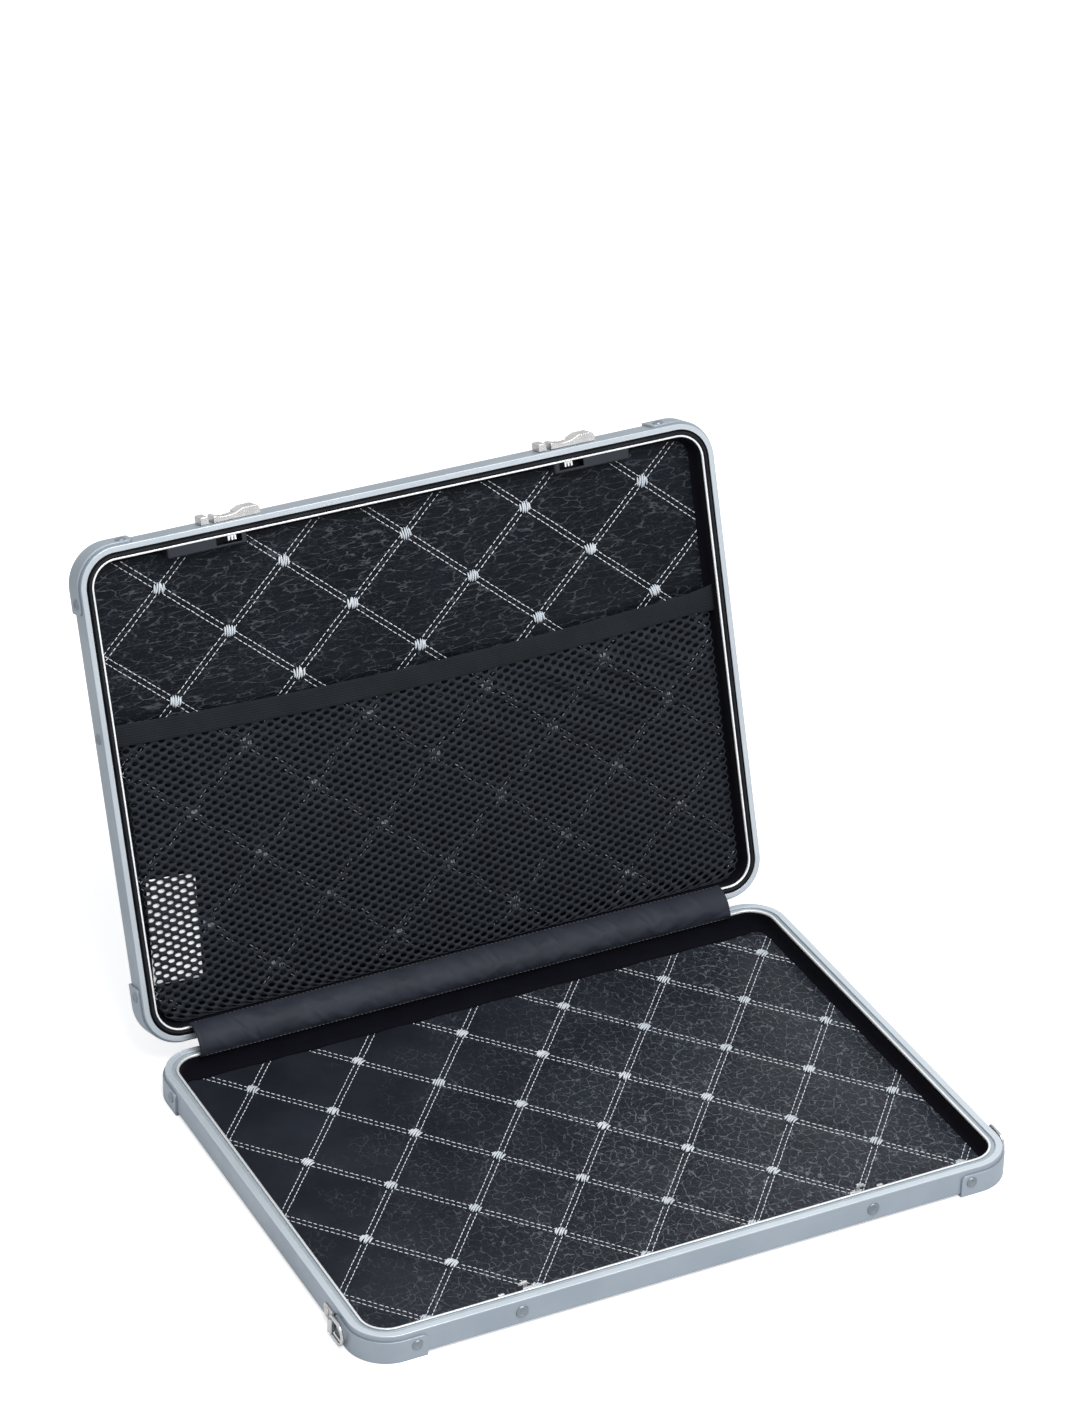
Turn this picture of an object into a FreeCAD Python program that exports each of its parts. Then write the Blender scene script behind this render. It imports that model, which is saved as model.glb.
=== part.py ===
import FreeCAD, Part
import math
import os

os.makedirs("parts", exist_ok=True)
Vec = FreeCAD.Vector

# Case, millimetres
caseWidth = 385.0
caseDepth = 282.0
halfHeight = 15.2
cornerRadius = 22.0
partingGap = 0.3
openAngle = 107.7

# Frame section, measured inwards from the outer wall face
wallThick = 1.3
innerWallThick = 0.6
bottomLipWidth = 5.0
bottomLipThick = 0.7
lidGrooveDepth = 2.4
baseGrooveDepth = 1.3
grooveFloorThick = 0.8
lipHeight = 1.4
bottomEdgeBevel = 1.3
rimEdgeBevel = 0.4
baseFlangeWidth = 4.1
baseGrooveWidth = 2.4
baseLipWidth = 1.4
lidFlangeWidth = 3.4
lidGrooveWidth = 3.1
lidLipWidth = 1.2

# Fits
slideFit = 0.1
softGap = 0.2
runningGap = 0.3
boreFit = 0.05
cutOverrun = 1.0
pickTolerance = 0.02

# Panels and linings
panelThick = 1.8
quiltThick = 2.2
quiltSeamDepth = 1.5
quiltSeamWidth = 3.0
quiltEdgeBevel = 1.2
tuftDiameter = 7.0
tuftHeight = 0.6
tuftSides = 6
baseQuiltPitchX = 63.7
baseQuiltRowPitch = 37.6
baseQuiltSideSetback = 43.7
baseQuiltBackSetback = 37.4
lidQuiltPitchX = 73.8
lidQuiltRowPitch = 32.04
lidQuiltSideSetback = 47.8
lidQuiltFrontSetback = 30.45

# Rubber seal
sealBeadWidth = 1.6
sealBeadReach = 0.5

# Corner caps
capProud = 1.2
footDrop = 1.5
capArm = 35.0
capTopDrop = 3.2
capPlateWidth = 9.0
capEndRadius = 3.0
capFootBevel = 0.9

# Rivets
capRivetInset = 29.0
capRivetHeight = 7.2
capRivetHeadDiameter = 6.2
keeperRivetHeadDiameter = 7.4
hingeRivetHeadDiameter = 5.0
clipRivetHeadDiameter = 5.0
rivetHeadHeight = 0.8
rivetSides = 10

# Latch keepers
keeperInnerSetback = 99.0
keeperOuterSetback = 79.0
keeperThick = 1.2
keeperDepth = 9.0
keeperShoulderRise = 0.6
keeperInnerShoulder = 3.7
keeperOuterShoulder = 3.5
keeperWaistDrop = 1.2
hookStemWidth = 2.2
hookNoseLength = 2.8
hookRise = 4.8
hookNoseRise = 2.7
hookNoseThick = 1.0
keeperRivetSetback = 88.9
keeperRivetHeight = 7.7

# Latches on the lid's front wall
latchTravel = 2.8
latchLeftSetback = 74.3
latchRightSetback = 106.3
latchWidth = 9.4
latchBottom = 2.6
latchBlockLength = 4.6
latchBlockProud = 4.6
latchBlockRadius = 1.2
latchBlockGap = 3.0
sliderLength = 27.2
sliderProud = 5.6
sliderSaddleProud = 2.9
sliderHeelProud = 3.8
sliderRibWidth = 0.9
sliderRibDepth = 0.4
sliderRibCount = 4
shankSetback = 91.5
shankWidth = 4.0
shankBottom = 5.2
shankHeight = 3.6
housingSetback = 99.0
housingLength = 46.9
housingDepth = 6.2
housingBottom = 0.8
housingWall = 1.0
housingWindowSetback = 95.9
housingWindowLength = 15.0
housingWindowMargin = 1.7
housingEdgeBevel = 0.8
boltSetback = 92.7
boltWidth = 5.2
boltThick = 1.3
boltPlateThick = 1.2
boltPlateMargin = 1.2
noseFit = 0.2

# Strap rings on the side walls
clipSetback = 34.5
clipHeight = 6.0
clipStandoff = 3.4
clipBarrelRadius = 1.9
clipBarrelLength = 8.2
clipPlateThick = 0.9
clipPlateLength = 15.0
clipNeck = 3.2
clipEndRadius = 3.0
clipRivetSetback = 4.4
ringWire = 2.0
ringHeight = 14.0
ringLength = 16.0
ringWireSides = 8
ringTipSides = 10

# Two butt hinges on the back walls
hingeSetback = 87.5
hingeWidth = 54.0
hingeKnuckles = 3
hingeOffset = 2.5
knuckleRadius = 2.2
pinRadius = 1.25
hingeSides = 12
leafThick = 0.9
leafHeight = 11.0
leafSet = 2.8
leafLap = 0.8
hingeRivetSpread = 15.0
hingeRivetDrop = 7.0

# Cloth hinge cover
coverWidth = 336.0
coverThick = 0.7
coverBaseLap = 3.5
coverLidLap = 2.5
coverRise = 0.4

# Elastic band, mesh pocket and blank label
bandSetback = 105.0
bandSag = 5.5
bandWidth = 12.0
bandThick = 1.2
bandDrop = 5.4
bandTabThick = 1.2
bandRivetDrop = 8.2
meshThick = 0.5
meshTopLap = 2.0
meshSideGap = 1.4
meshBottomGap = 1.6
meshCornerRadius = 13.0
meshHoleLength = 19.5
meshHoleWidth = 13.5
meshPitchX = 31.0
meshPitchY = 14.6
meshMargin = 6.0
labelWidth = 29.0
labelLength = 60.0
labelThick = 0.4
labelSideSetback = 27.0
labelBackSetback = 62.2
labelTurn = 4.0

# Derived places
panelLow = bottomLipThick
panelTop = panelLow + panelThick
quiltTop = panelTop + quiltThick
lidGrooveFloor = halfHeight - lidGrooveDepth
baseGrooveFloor = halfHeight - baseGrooveDepth
lipBottom = halfHeight - lipHeight
baseLipStart = baseFlangeWidth + baseGrooveWidth
baseLipEnd = baseLipStart + baseLipWidth
lidLipStart = lidFlangeWidth + lidGrooveWidth
lidLipEnd = lidLipStart + lidLipWidth
baseRim = footDrop + halfHeight
lidRim = baseRim + partingGap
axisZ = baseRim + partingGap / 2
axisY = caseDepth / 2 + hingeOffset
frontY = -caseDepth / 2
backY = caseDepth / 2
capTop = halfHeight - capTopDrop
sideX = caseWidth / 2
baseQuiltStartX = baseQuiltSideSetback - sideX
baseQuiltStartY = backY - baseQuiltBackSetback
lidQuiltStartX = lidQuiltSideSetback - sideX
lidQuiltStartY = frontY + lidQuiltFrontSetback
keeperInnerPlace = sideX - keeperInnerSetback
keeperOuterPlace = sideX - keeperOuterSetback
keeperRivetPlace = sideX - keeperRivetSetback
latchLeftStart = latchLeftSetback - sideX
latchRightStart = sideX - latchRightSetback
shankInner = sideX - shankSetback
housingInner = sideX - housingSetback
housingWindowInner = sideX - housingWindowSetback
boltInner = sideX - boltSetback
clipPlace = frontY + clipSetback
hingePlace = sideX - hingeSetback
bandPlace = frontY + bandSetback
labelPlaceX = labelSideSetback - sideX
labelPlaceY = backY - labelBackSetback
zAxis = Vec(0, 0, 1)
yAxis = Vec(0, 1, 0)
xAxis = Vec(1, 0, 0)


def roundedFace(width, depth, radius, z):
    """flat rounded rectangle about the z axis"""
    w = width / 2
    d = depth / 2
    k = radius * math.sqrt(0.5)
    edges = []
    corners = [(w - radius, d - radius, 1, 1), (radius - w, d - radius, -1, 1),
               (radius - w, radius - d, -1, -1), (w - radius, radius - d, 1, -1)]
    ends = []
    for cx, cy, sx, sy in corners:
        onX = Vec(cx + sx * radius, cy, z)
        onY = Vec(cx, cy + sy * radius, z)
        mid = Vec(cx + sx * k, cy + sy * k, z)
        first, last = (onX, onY) if sx * sy > 0 else (onY, onX)
        ends.append((first, mid, last))
    for i, (first, mid, last) in enumerate(ends):
        edges.append(Part.Arc(first, mid, last).toShape())
        edges.append(Part.makeLine(last, ends[(i + 1) % len(ends)][0]))
    return Part.Face(Part.Wire(edges))


def slab(inset, low, high):
    face = roundedFace(caseWidth - 2 * inset, caseDepth - 2 * inset, cornerRadius - inset, low)
    return face.extrude(Vec(0, 0, high - low))


def band(outer, inner, low, high):
    """closed ring between two insets of the case outline"""
    return slab(outer, low, high).cut(slab(inner, low - cutOverrun, high + cutOverrun))


def box(x0, x1, y0, y1, z0, z1):
    return Part.makeBox(x1 - x0, y1 - y0, z1 - z0, Vec(x0, y0, z0))


def rod(radius, start, end):
    line = end - start
    return Part.makeCylinder(radius, line.Length, start, line)


def insetOf(x, y):
    """how far a plan point lies inside the case outline"""
    ax = abs(x) - (caseWidth / 2 - cornerRadius)
    ay = abs(y) - (caseDepth / 2 - cornerRadius)
    if ax > 0 and ay > 0:
        return cornerRadius - math.hypot(ax, ay)
    return cornerRadius - max(ax, ay)


def outlineEdges(shape, inset, z):
    """edges that run round the outline at one inset and height"""
    found = []
    for edge in shape.Edges:
        box3 = edge.BoundBox
        if abs(box3.ZMin - z) > pickTolerance or abs(box3.ZMax - z) > pickTolerance:
            continue
        mid = edge.valueAt((edge.FirstParameter + edge.LastParameter) / 2)
        if abs(insetOf(mid.x, mid.y) - inset) < pickTolerance:
            found.append(edge)
    return found


def toBase(shape):
    moved = shape.copy()
    moved.translate(Vec(0, 0, footDrop))
    return moved


def closedLid(shape):
    """turns a half built floor down into the closed lid"""
    moved = shape.mirror(Vec(0, 0, 0), zAxis)
    moved.translate(Vec(0, 0, lidRim + halfHeight))
    return moved


def openLid(shape):
    moved = shape.copy()
    moved.rotate(Vec(0, axisY, axisZ), xAxis, -openAngle)
    return moved


def toLid(shape):
    return openLid(closedLid(shape))


def rimHeight(above):
    """height in a half's own frame of a place measured in from its rim"""
    return halfHeight - above


# Frames: one hollow section with a flange, a groove and a lip round the rim
def frameHalf(flange, groove, lip, grooveFloor):
    lipStart = flange + groove
    body = band(0, wallThick, 0, halfHeight)
    pieces = [
        band(0, bottomLipWidth, 0, bottomLipThick),
        band(0, flange, grooveFloor - grooveFloorThick, halfHeight),
        band(0, lipStart + innerWallThick, grooveFloor - grooveFloorThick, grooveFloor),
        band(lipStart, lipStart + innerWallThick, panelTop + slideFit, halfHeight),
        band(lipStart, lipStart + lip, lipBottom, halfHeight),
    ]
    body = body.multiFuse(pieces).removeSplitter()
    body = body.makeChamfer(bottomEdgeBevel, outlineEdges(body, 0, 0))
    return body.makeChamfer(rimEdgeBevel, outlineEdges(body, 0, halfHeight))


def rivet(seat, inward, headDiameter):
    """low head on the face at seat, pointing away from the inward direction"""
    solid = Part.Face(polygonWire(headDiameter / 2, rivetSides, 0)).extrude(Vec(0, 0, rivetHeadHeight))
    solid.Placement = FreeCAD.Placement(seat, FreeCAD.Rotation(zAxis, -inward))
    return solid


def polygonWire(radius, sides, height):
    """regular polygon about the z axis, a side square to +x"""
    outline = []
    for i in range(sides):
        angle = 2 * math.pi * (i + 0.5) / sides
        outline.append(Vec(radius * math.cos(angle), radius * math.sin(angle), height))
    return Part.makePolygon(outline + [outline[0]])


capRivetSolids = []
for sx in (-1, 1):
    for sy in (-1, 1):
        side = Vec(sx * (caseWidth / 2 + capProud), sy * (caseDepth / 2 - capRivetInset), capRivetHeight)
        end = Vec(sx * (caseWidth / 2 - capRivetInset), sy * (caseDepth / 2 + capProud), capRivetHeight)
        capRivetSolids.append(rivet(side, Vec(-sx, 0, 0), capRivetHeadDiameter))
        capRivetSolids.append(rivet(end, Vec(0, -sy, 0), capRivetHeadDiameter))
capRivets = Part.makeCompound(capRivetSolids)

keeperRivetSolids = []
for s in (-1, 1):
    keeperRivetSolids.append(rivet(Vec(s * keeperRivetPlace, frontY, keeperRivetHeight), yAxis, keeperRivetHeadDiameter))
keeperRivets = Part.makeCompound(keeperRivetSolids)

bandRivetSolids = []
for s in (-1, 1):
    seat = Vec(s * caseWidth / 2, bandPlace, rimHeight(bandRivetDrop))
    bandRivetSolids.append(rivet(seat, Vec(-s, 0, 0), capRivetHeadDiameter))
bandRivets = Part.makeCompound(bandRivetSolids)

hingeRivetSolids = []
for s in (-1, 1):
    for t in (-1, 1):
        seat = Vec(s * hingePlace + t * hingeRivetSpread, backY + leafThick, rimHeight(hingeRivetDrop))
        hingeRivetSolids.append(rivet(seat, -yAxis, hingeRivetHeadDiameter))
hingeRivets = Part.makeCompound(hingeRivetSolids)

clipRivetSolids = []
for s in (-1, 1):
    seat = Vec(s * (caseWidth / 2 + clipPlateThick), clipPlace + clipPlateLength - clipRivetSetback, clipHeight)
    clipRivetSolids.append(rivet(seat, Vec(-s, 0, 0), clipRivetHeadDiameter))
clipRivets = Part.makeCompound(clipRivetSolids)

# Slots in the lid's front wall for the latch shanks, one per side
slotTools = []
for s in (-1, 1):
    near = s * (shankInner - runningGap)
    far = s * (shankInner + shankWidth + latchTravel + runningGap)
    low = rimHeight(shankBottom + shankHeight + runningGap)
    high = rimHeight(shankBottom - runningGap)
    slotTools.append(box(min(near, far), max(near, far), frontY - cutOverrun, frontY + lidLipEnd, low, high))

baseFrame = frameHalf(baseFlangeWidth, baseGrooveWidth, baseLipWidth, baseGrooveFloor)
lidFrame = frameHalf(lidFlangeWidth, lidGrooveWidth, lidLipWidth, lidGrooveFloor).cut(slotTools)

# Panels and side linings
panel = slab(wallThick + slideFit, panelLow, panelTop)
baseSide = band(baseLipStart + innerWallThick, baseLipEnd - slideFit, panelTop, lipBottom)
lidSide = band(lidLipStart + innerWallThick, lidLipEnd - slideFit, panelTop, lipBottom).cut(slotTools)


# Quilted linings: a padded slab with sewn diamond channels and round tufts
def quiltLining(lipEnd, pitchX, rowPitch, startX, startY):
    inset = lipEnd + softGap
    pad = slab(inset, panelTop, quiltTop)
    pad = pad.makeChamfer(quiltEdgeBevel, outlineEdges(pad, inset, quiltTop))
    run = math.hypot(caseWidth, caseDepth)
    slope = math.atan2(rowPitch, pitchX / 2)
    lean = caseDepth * (pitchX / 2) / rowPitch
    first = int((-caseWidth / 2 - lean - startX) / pitchX)
    last = int((caseWidth / 2 + lean - startX) / pitchX)
    tools = []
    for i in range(first, last + 1):
        for way in (-1, 1):
            tool = seamTool(run)
            tool.rotate(Vec(0, 0, 0), zAxis, way * math.degrees(slope))
            tool.translate(Vec(startX + i * pitchX, startY, quiltTop))
            tools.append(tool)
    return pad.cut(tools).removeSplitter()


def seamTool(run):
    """wedge that cuts one sewn channel, its mouth a little above the padding"""
    half = quiltSeamWidth / 2
    over = half * cutOverrun / quiltSeamDepth
    outline = [Vec(-run, 0, -quiltSeamDepth), Vec(-run, half + over, cutOverrun), Vec(-run, -half - over, cutOverrun)]
    face = Part.Face(Part.makePolygon(outline + [outline[0]]))
    return face.extrude(Vec(2 * run, 0, 0))


def quiltCrossings(lipEnd, pitchX, rowPitch, startX, startY):
    margin = lipEnd + tuftDiameter / 2 + quiltEdgeBevel
    rows = int(caseDepth / rowPitch) + 2
    columns = int(caseWidth / pitchX) + 2
    found = []
    for row in range(-rows, rows + 1):
        for column in range(-columns, columns + 1):
            x = startX + column * pitchX + (row % 2) * pitchX / 2
            y = startY + row * rowPitch
            if insetOf(x, y) > margin:
                found.append((x, y))
    return found


def tufts(places):
    solids = []
    for x, y in places:
        tuft = Part.Face(polygonWire(tuftDiameter / 2, tuftSides, quiltTop)).extrude(Vec(0, 0, tuftHeight))
        tuft.translate(Vec(x, y, 0))
        solids.append(tuft)
    return Part.makeCompound(solids)


baseQuilt = (baseLipEnd, baseQuiltPitchX, baseQuiltRowPitch, baseQuiltStartX, baseQuiltStartY)
lidQuilt = (lidLipEnd, lidQuiltPitchX, lidQuiltRowPitch, lidQuiltStartX, lidQuiltStartY)
baseLining = quiltLining(*baseQuilt)
lidLining = quiltLining(*lidQuilt)
baseTufts = tufts(quiltCrossings(*baseQuilt))
lidTufts = tufts(quiltCrossings(*lidQuilt))

# Seal: a rubber bead in the lid's groove that enters the base's groove
beadMid = baseFlangeWidth + baseGrooveWidth / 2
beadTop = halfHeight + partingGap + sealBeadReach
seal = band(beadMid - sealBeadWidth / 2, beadMid + sealBeadWidth / 2, lidGrooveFloor, beadTop)


# Corner caps: a wrap round the wall with a foot plate underneath
def cornerCap():
    wrap = band(-capProud, -boreFit, -footDrop, capTop)
    low = -footDrop - cutOverrun
    high = capTop + cutOverrun
    left = -caseWidth / 2
    far = capArm + cutOverrun
    opening = box(left + capPlateWidth, left + far, frontY + capPlateWidth, frontY + far, low, high)
    plate = slab(-capProud, -footDrop, 0).cut(opening)
    keep = box(left - capProud - cutOverrun, left + capArm, frontY - capProud - cutOverrun, frontY + capArm, low, high)
    cap = wrap.fuse(plate).common(keep).removeSplitter()
    cap = cap.makeFillet(capEndRadius, capEndEdges(cap))
    return cap.makeChamfer(capFootBevel, outlineEdges(cap, -capProud, -footDrop))


def capEndEdges(cap):
    """short upright-face edges at the top of both arm ends"""
    found = []
    left = -caseWidth / 2
    for edge in cap.Edges:
        mid = edge.valueAt((edge.FirstParameter + edge.LastParameter) / 2)
        if abs(mid.z - capTop) > pickTolerance or edge.Length > capProud:
            continue
        if abs(mid.x - left - capArm) < pickTolerance or abs(mid.y - frontY - capArm) < pickTolerance:
            found.append(edge)
    return found


cap = cornerCap()
capRight = cap.mirror(Vec(0, 0, 0), xAxis)
caps = {
    "front_left": cap,
    "front_right": capRight,
    "back_left": cap.mirror(Vec(0, 0, 0), yAxis),
    "back_right": capRight.mirror(Vec(0, 0, 0), yAxis),
}


# Latch keepers: a stamped plate inside the base's front wall with an outward hook
def keeper(s):
    top = halfHeight + keeperShoulderRise
    waist = halfHeight - keeperWaistDrop
    stemIn = keeperInnerPlace + keeperInnerShoulder
    stemOut = stemIn + hookStemWidth
    tip = stemOut + hookNoseLength
    hookTop = halfHeight + hookRise
    nose = halfHeight + hookNoseRise
    outline = [
        (keeperInnerPlace, halfHeight - keeperDepth),
        (keeperOuterPlace, halfHeight - keeperDepth),
        (keeperOuterPlace, top),
        (keeperOuterPlace - keeperOuterShoulder, top),
        (keeperOuterPlace - keeperOuterShoulder, waist),
        (stemOut, waist),
        (stemOut, nose),
        (tip, nose),
        (tip, nose + hookNoseThick),
        (stemOut, hookTop),
        (stemIn, hookTop),
        (stemIn, top),
        (keeperInnerPlace, top),
    ]
    y = frontY + baseLipEnd
    points = [Vec(s * m, y, h) for m, h in outline]
    face = Part.Face(Part.makePolygon(points + [points[0]]))
    return face.extrude(Vec(0, keeperThick, 0))


# Fixed latch blocks and thumb sliders, the same casting on both sides
latchHigh = rimHeight(latchBottom)
latchLow = latchHigh - latchWidth


def latchBlock(start):
    """short block whose two outer corners are rounded in plan"""
    x0 = start
    x1 = start + latchBlockLength
    top = frontY - latchBlockProud
    r = latchBlockRadius
    k = r * (1 - math.sqrt(0.5))
    edges = [
        Part.makeLine(Vec(x1, frontY, latchLow), Vec(x0, frontY, latchLow)),
        Part.makeLine(Vec(x0, frontY, latchLow), Vec(x0, top + r, latchLow)),
        Part.Arc(Vec(x0, top + r, latchLow), Vec(x0 + k, top + k, latchLow), Vec(x0 + r, top, latchLow)).toShape(),
        Part.makeLine(Vec(x0 + r, top, latchLow), Vec(x1 - r, top, latchLow)),
        Part.Arc(Vec(x1 - r, top, latchLow), Vec(x1 - k, top + k, latchLow), Vec(x1, top + r, latchLow)).toShape(),
        Part.makeLine(Vec(x1, top + r, latchLow), Vec(x1, frontY, latchLow)),
    ]
    return Part.Face(Part.Wire(edges)).extrude(Vec(0, 0, latchWidth))


sliderHeelShare = 0.04
sliderSaddleShare = 0.30
sliderRiseShare = 0.50
sliderCrestShare = 0.67
sliderBrowShare = 0.88
sliderToeShare = 0.97
sliderToeProud = 4.3
sliderEndProud = 2.2


def sliderCast(s, start):
    x0 = start + latchBlockLength + latchBlockGap
    x1 = x0 + sliderLength
    foot = frontY - runningGap
    heel = Vec(x0, frontY - sliderHeelProud, latchLow)
    heelTop = Vec(x0 + sliderHeelShare * sliderLength, frontY - sliderHeelProud, latchLow)
    saddle = Vec(x0 + sliderSaddleShare * sliderLength, frontY - sliderSaddleProud, latchLow)
    rise = Vec(x0 + sliderRiseShare * sliderLength, frontY - sliderHeelProud, latchLow)
    crest = Vec(x0 + sliderCrestShare * sliderLength, frontY - sliderProud, latchLow)
    brow = Vec(x0 + sliderBrowShare * sliderLength, frontY - sliderProud, latchLow)
    toe = Vec(x0 + sliderToeShare * sliderLength, frontY - sliderToeProud, latchLow)
    end = Vec(x1, frontY - sliderEndProud, latchLow)
    edges = [
        Part.makeLine(Vec(x0, foot, latchLow), heel),
        Part.makeLine(heel, heelTop),
        Part.Arc(heelTop, saddle, rise).toShape(),
        Part.makeLine(rise, crest),
        Part.makeLine(crest, brow),
        Part.Arc(brow, toe, end).toShape(),
        Part.makeLine(end, Vec(x1, foot, latchLow)),
        Part.makeLine(Vec(x1, foot, latchLow), Vec(x0, foot, latchLow)),
    ]
    solid = Part.Face(Part.Wire(edges)).extrude(Vec(0, 0, latchWidth))
    ribs = []
    pitch = (brow.x - crest.x) / sliderRibCount
    for i in range(sliderRibCount):
        x = crest.x + (i + 0.5) * pitch
        top = frontY - sliderProud
        wedge = [
            Vec(x - sliderRibWidth / 2, top - sliderRibDepth, latchLow - cutOverrun),
            Vec(x + sliderRibWidth / 2, top - sliderRibDepth, latchLow - cutOverrun),
            Vec(x, top + sliderRibDepth, latchLow - cutOverrun),
        ]
        face = Part.Face(Part.makePolygon(wedge + [wedge[0]]))
        ribs.append(face.extrude(Vec(0, 0, latchWidth + 2 * cutOverrun)))
    solid = solid.cut(Part.makeCompound(ribs))
    return solid.fuse(sliderShank(s)).removeSplitter()


# The shank runs from the slider through the wall to the bolt's plate
boltPlateOut = lidLipEnd + keeperThick + 2 * runningGap


def sliderShank(s):
    near = s * shankInner
    far = s * (shankInner + shankWidth)
    low = rimHeight(shankBottom + shankHeight)
    high = rimHeight(shankBottom)
    return box(min(near, far), max(near, far), frontY - runningGap, frontY + boltPlateOut, low, high)


# Bolt: a bar that lies under the keeper's nose and the plate that carries it
hookNoseInLid = hookNoseRise - partingGap
boltTop = hookNoseInLid - noseFit
boltLow = boltTop - boltThick


def latchBolt(s):
    y0 = frontY + lidLipEnd + noseFit
    y1 = frontY + boltPlateOut
    near = s * boltInner
    far = s * (boltInner + boltWidth)
    bar = box(min(near, far), max(near, far), y0, y1 + boltPlateThick, rimHeight(boltTop), rimHeight(boltLow))
    near = s * (boltInner - boltPlateMargin)
    far = s * (boltInner + boltWidth + boltPlateMargin)
    high = rimHeight(boltLow)
    low = rimHeight(shankBottom + shankHeight)
    plate = box(min(near, far), max(near, far), y1, y1 + boltPlateThick, low, high)
    return bar.fuse(plate).removeSplitter()


# Housing: an open-backed cover with a window for the keeper's hook
housingTop = halfHeight - quiltTop - softGap


def latchHousing(s):
    near = s * housingInner
    far = s * (housingInner + housingLength)
    y0 = frontY + lidLipEnd
    y1 = y0 + housingDepth
    low = rimHeight(housingTop)
    high = rimHeight(housingBottom)
    shell = box(min(near, far), max(near, far), y0, y1, low, high)
    bevelled = []
    for edge in shell.Edges:
        mid = edge.valueAt((edge.FirstParameter + edge.LastParameter) / 2)
        onEnd = abs(mid.x - near) < pickTolerance or abs(mid.x - far) < pickTolerance
        onFace = abs(mid.y - y1) < pickTolerance
        onRim = abs(mid.z - high) < pickTolerance
        if (onEnd and onFace) or (onFace and onRim) or (onEnd and onRim):
            bevelled.append(edge)
    shell = shell.makeChamfer(housingEdgeBevel, bevelled)
    near = s * (housingInner + housingWall)
    far = s * (housingInner + housingLength - housingWall)
    cavity = box(min(near, far), max(near, far), y0 - cutOverrun, y1 - housingWall,
                 low + housingWall, high - housingWall)
    near = s * housingWindowInner
    far = s * (housingWindowInner + housingWindowLength)
    window = box(min(near, far), max(near, far), y0 - cutOverrun, y1 - housingWindowMargin,
                 high - housingWall - cutOverrun, high + cutOverrun)
    return shell.cut([cavity, window])


# Strap-ring clips and D-rings
def clipSolid(s):
    wall = s * caseWidth / 2
    yB = clipPlace
    low = clipHeight - clipBarrelLength / 2
    centre = Vec(wall + s * clipStandoff, yB, low)
    up = Vec(0, 0, clipBarrelLength)
    barrel = rod(clipBarrelRadius, centre, centre + up)
    rear = yB + clipPlateLength
    outline = [
        (clipStandoff, yB),
        (clipStandoff - clipBarrelRadius, yB + clipBarrelRadius / 2),
        (0, yB + clipNeck),
        (0, rear),
        (clipPlateThick, rear),
        (clipPlateThick, yB + clipNeck + clipPlateThick / 2),
        (clipStandoff, yB + clipBarrelRadius),
    ]
    points = [Vec(wall + s * out, y, low) for out, y in outline]
    face = Part.Face(Part.makePolygon(points + [points[0]]))
    plate = face.extrude(up)
    ends = []
    for edge in plate.Edges:
        mid = edge.valueAt((edge.FirstParameter + edge.LastParameter) / 2)
        level = abs(mid.z - low) < pickTolerance or abs(mid.z - low - clipBarrelLength) < pickTolerance
        if level and abs(mid.y - rear) < pickTolerance:
            ends.append(edge)
    plate = plate.makeFillet(clipEndRadius, ends)
    solid = barrel.fuse(plate).removeSplitter()
    bore = rod(ringWire / 2 + boreFit, centre - up, centre + 2 * up)
    return solid.cut(bore)


def strapRing(s):
    """D-shaped wire ring, its straight leg in the clip's barrel"""
    x = s * (caseWidth / 2 + clipStandoff)
    half = (ringHeight - ringWire) / 2
    arcY = clipPlace - ringLength + ringWire + half
    points = [Vec(x, clipPlace, clipHeight), Vec(x, clipPlace, clipHeight + half)]
    for i in range(ringTipSides + 1):
        angle = math.pi * i / ringTipSides
        points.append(Vec(x, arcY - half * math.sin(angle), clipHeight + half * math.cos(angle)))
    points += [Vec(x, clipPlace, clipHeight - half), Vec(x, clipPlace, clipHeight)]
    path = Part.makePolygon(points)
    section = polygonWire(ringWire / 2, ringWireSides, clipHeight)
    section.translate(Vec(x, clipPlace, 0))
    return path.makePipeShell([section], True, False, 1)


# Hinge leaves: a plate on the wall with rolled knuckles, the halves alternating
knuckleStep = hingeWidth / hingeKnuckles
leafGap = hingeOffset - knuckleRadius


def hingeBarrel(radius, x0, x1):
    """many-sided bar along the hinge axis"""
    outline = []
    for i in range(hingeSides):
        angle = 2 * math.pi * (i + 0.5) / hingeSides
        outline.append(Vec(x0, axisY + radius * math.cos(angle), axisZ + radius * math.sin(angle)))
    return Part.Face(Part.makePolygon(outline + [outline[0]])).extrude(Vec(x1 - x0, 0, 0))


def hingeLeaf(middle, first, direction):
    """direction -1 hangs the plate below the axis, 1 above it"""
    near = axisZ + direction * leafSet
    far = axisZ + direction * leafHeight
    left = middle - hingeWidth / 2
    leaf = box(left, left + hingeWidth, backY, backY + leafThick, min(near, far), max(near, far))
    pieces = []
    bores = []
    for i in range(first, hingeKnuckles, 2):
        x0 = left + i * knuckleStep + runningGap / 2
        x1 = x0 + knuckleStep - runningGap
        lap = axisZ + direction * (leafSet + leafLap)
        pieces.append(box(x0, x1, backY + leafGap, backY + leafGap + leafThick, min(axisZ, lap), max(axisZ, lap)))
        pieces.append(hingeBarrel(knuckleRadius, x0, x1))
        bores.append(hingeBarrel(pinRadius + boreFit, x0 - cutOverrun, x1 + cutOverrun))
    return leaf.multiFuse(pieces).removeSplitter().cut(bores)


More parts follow.
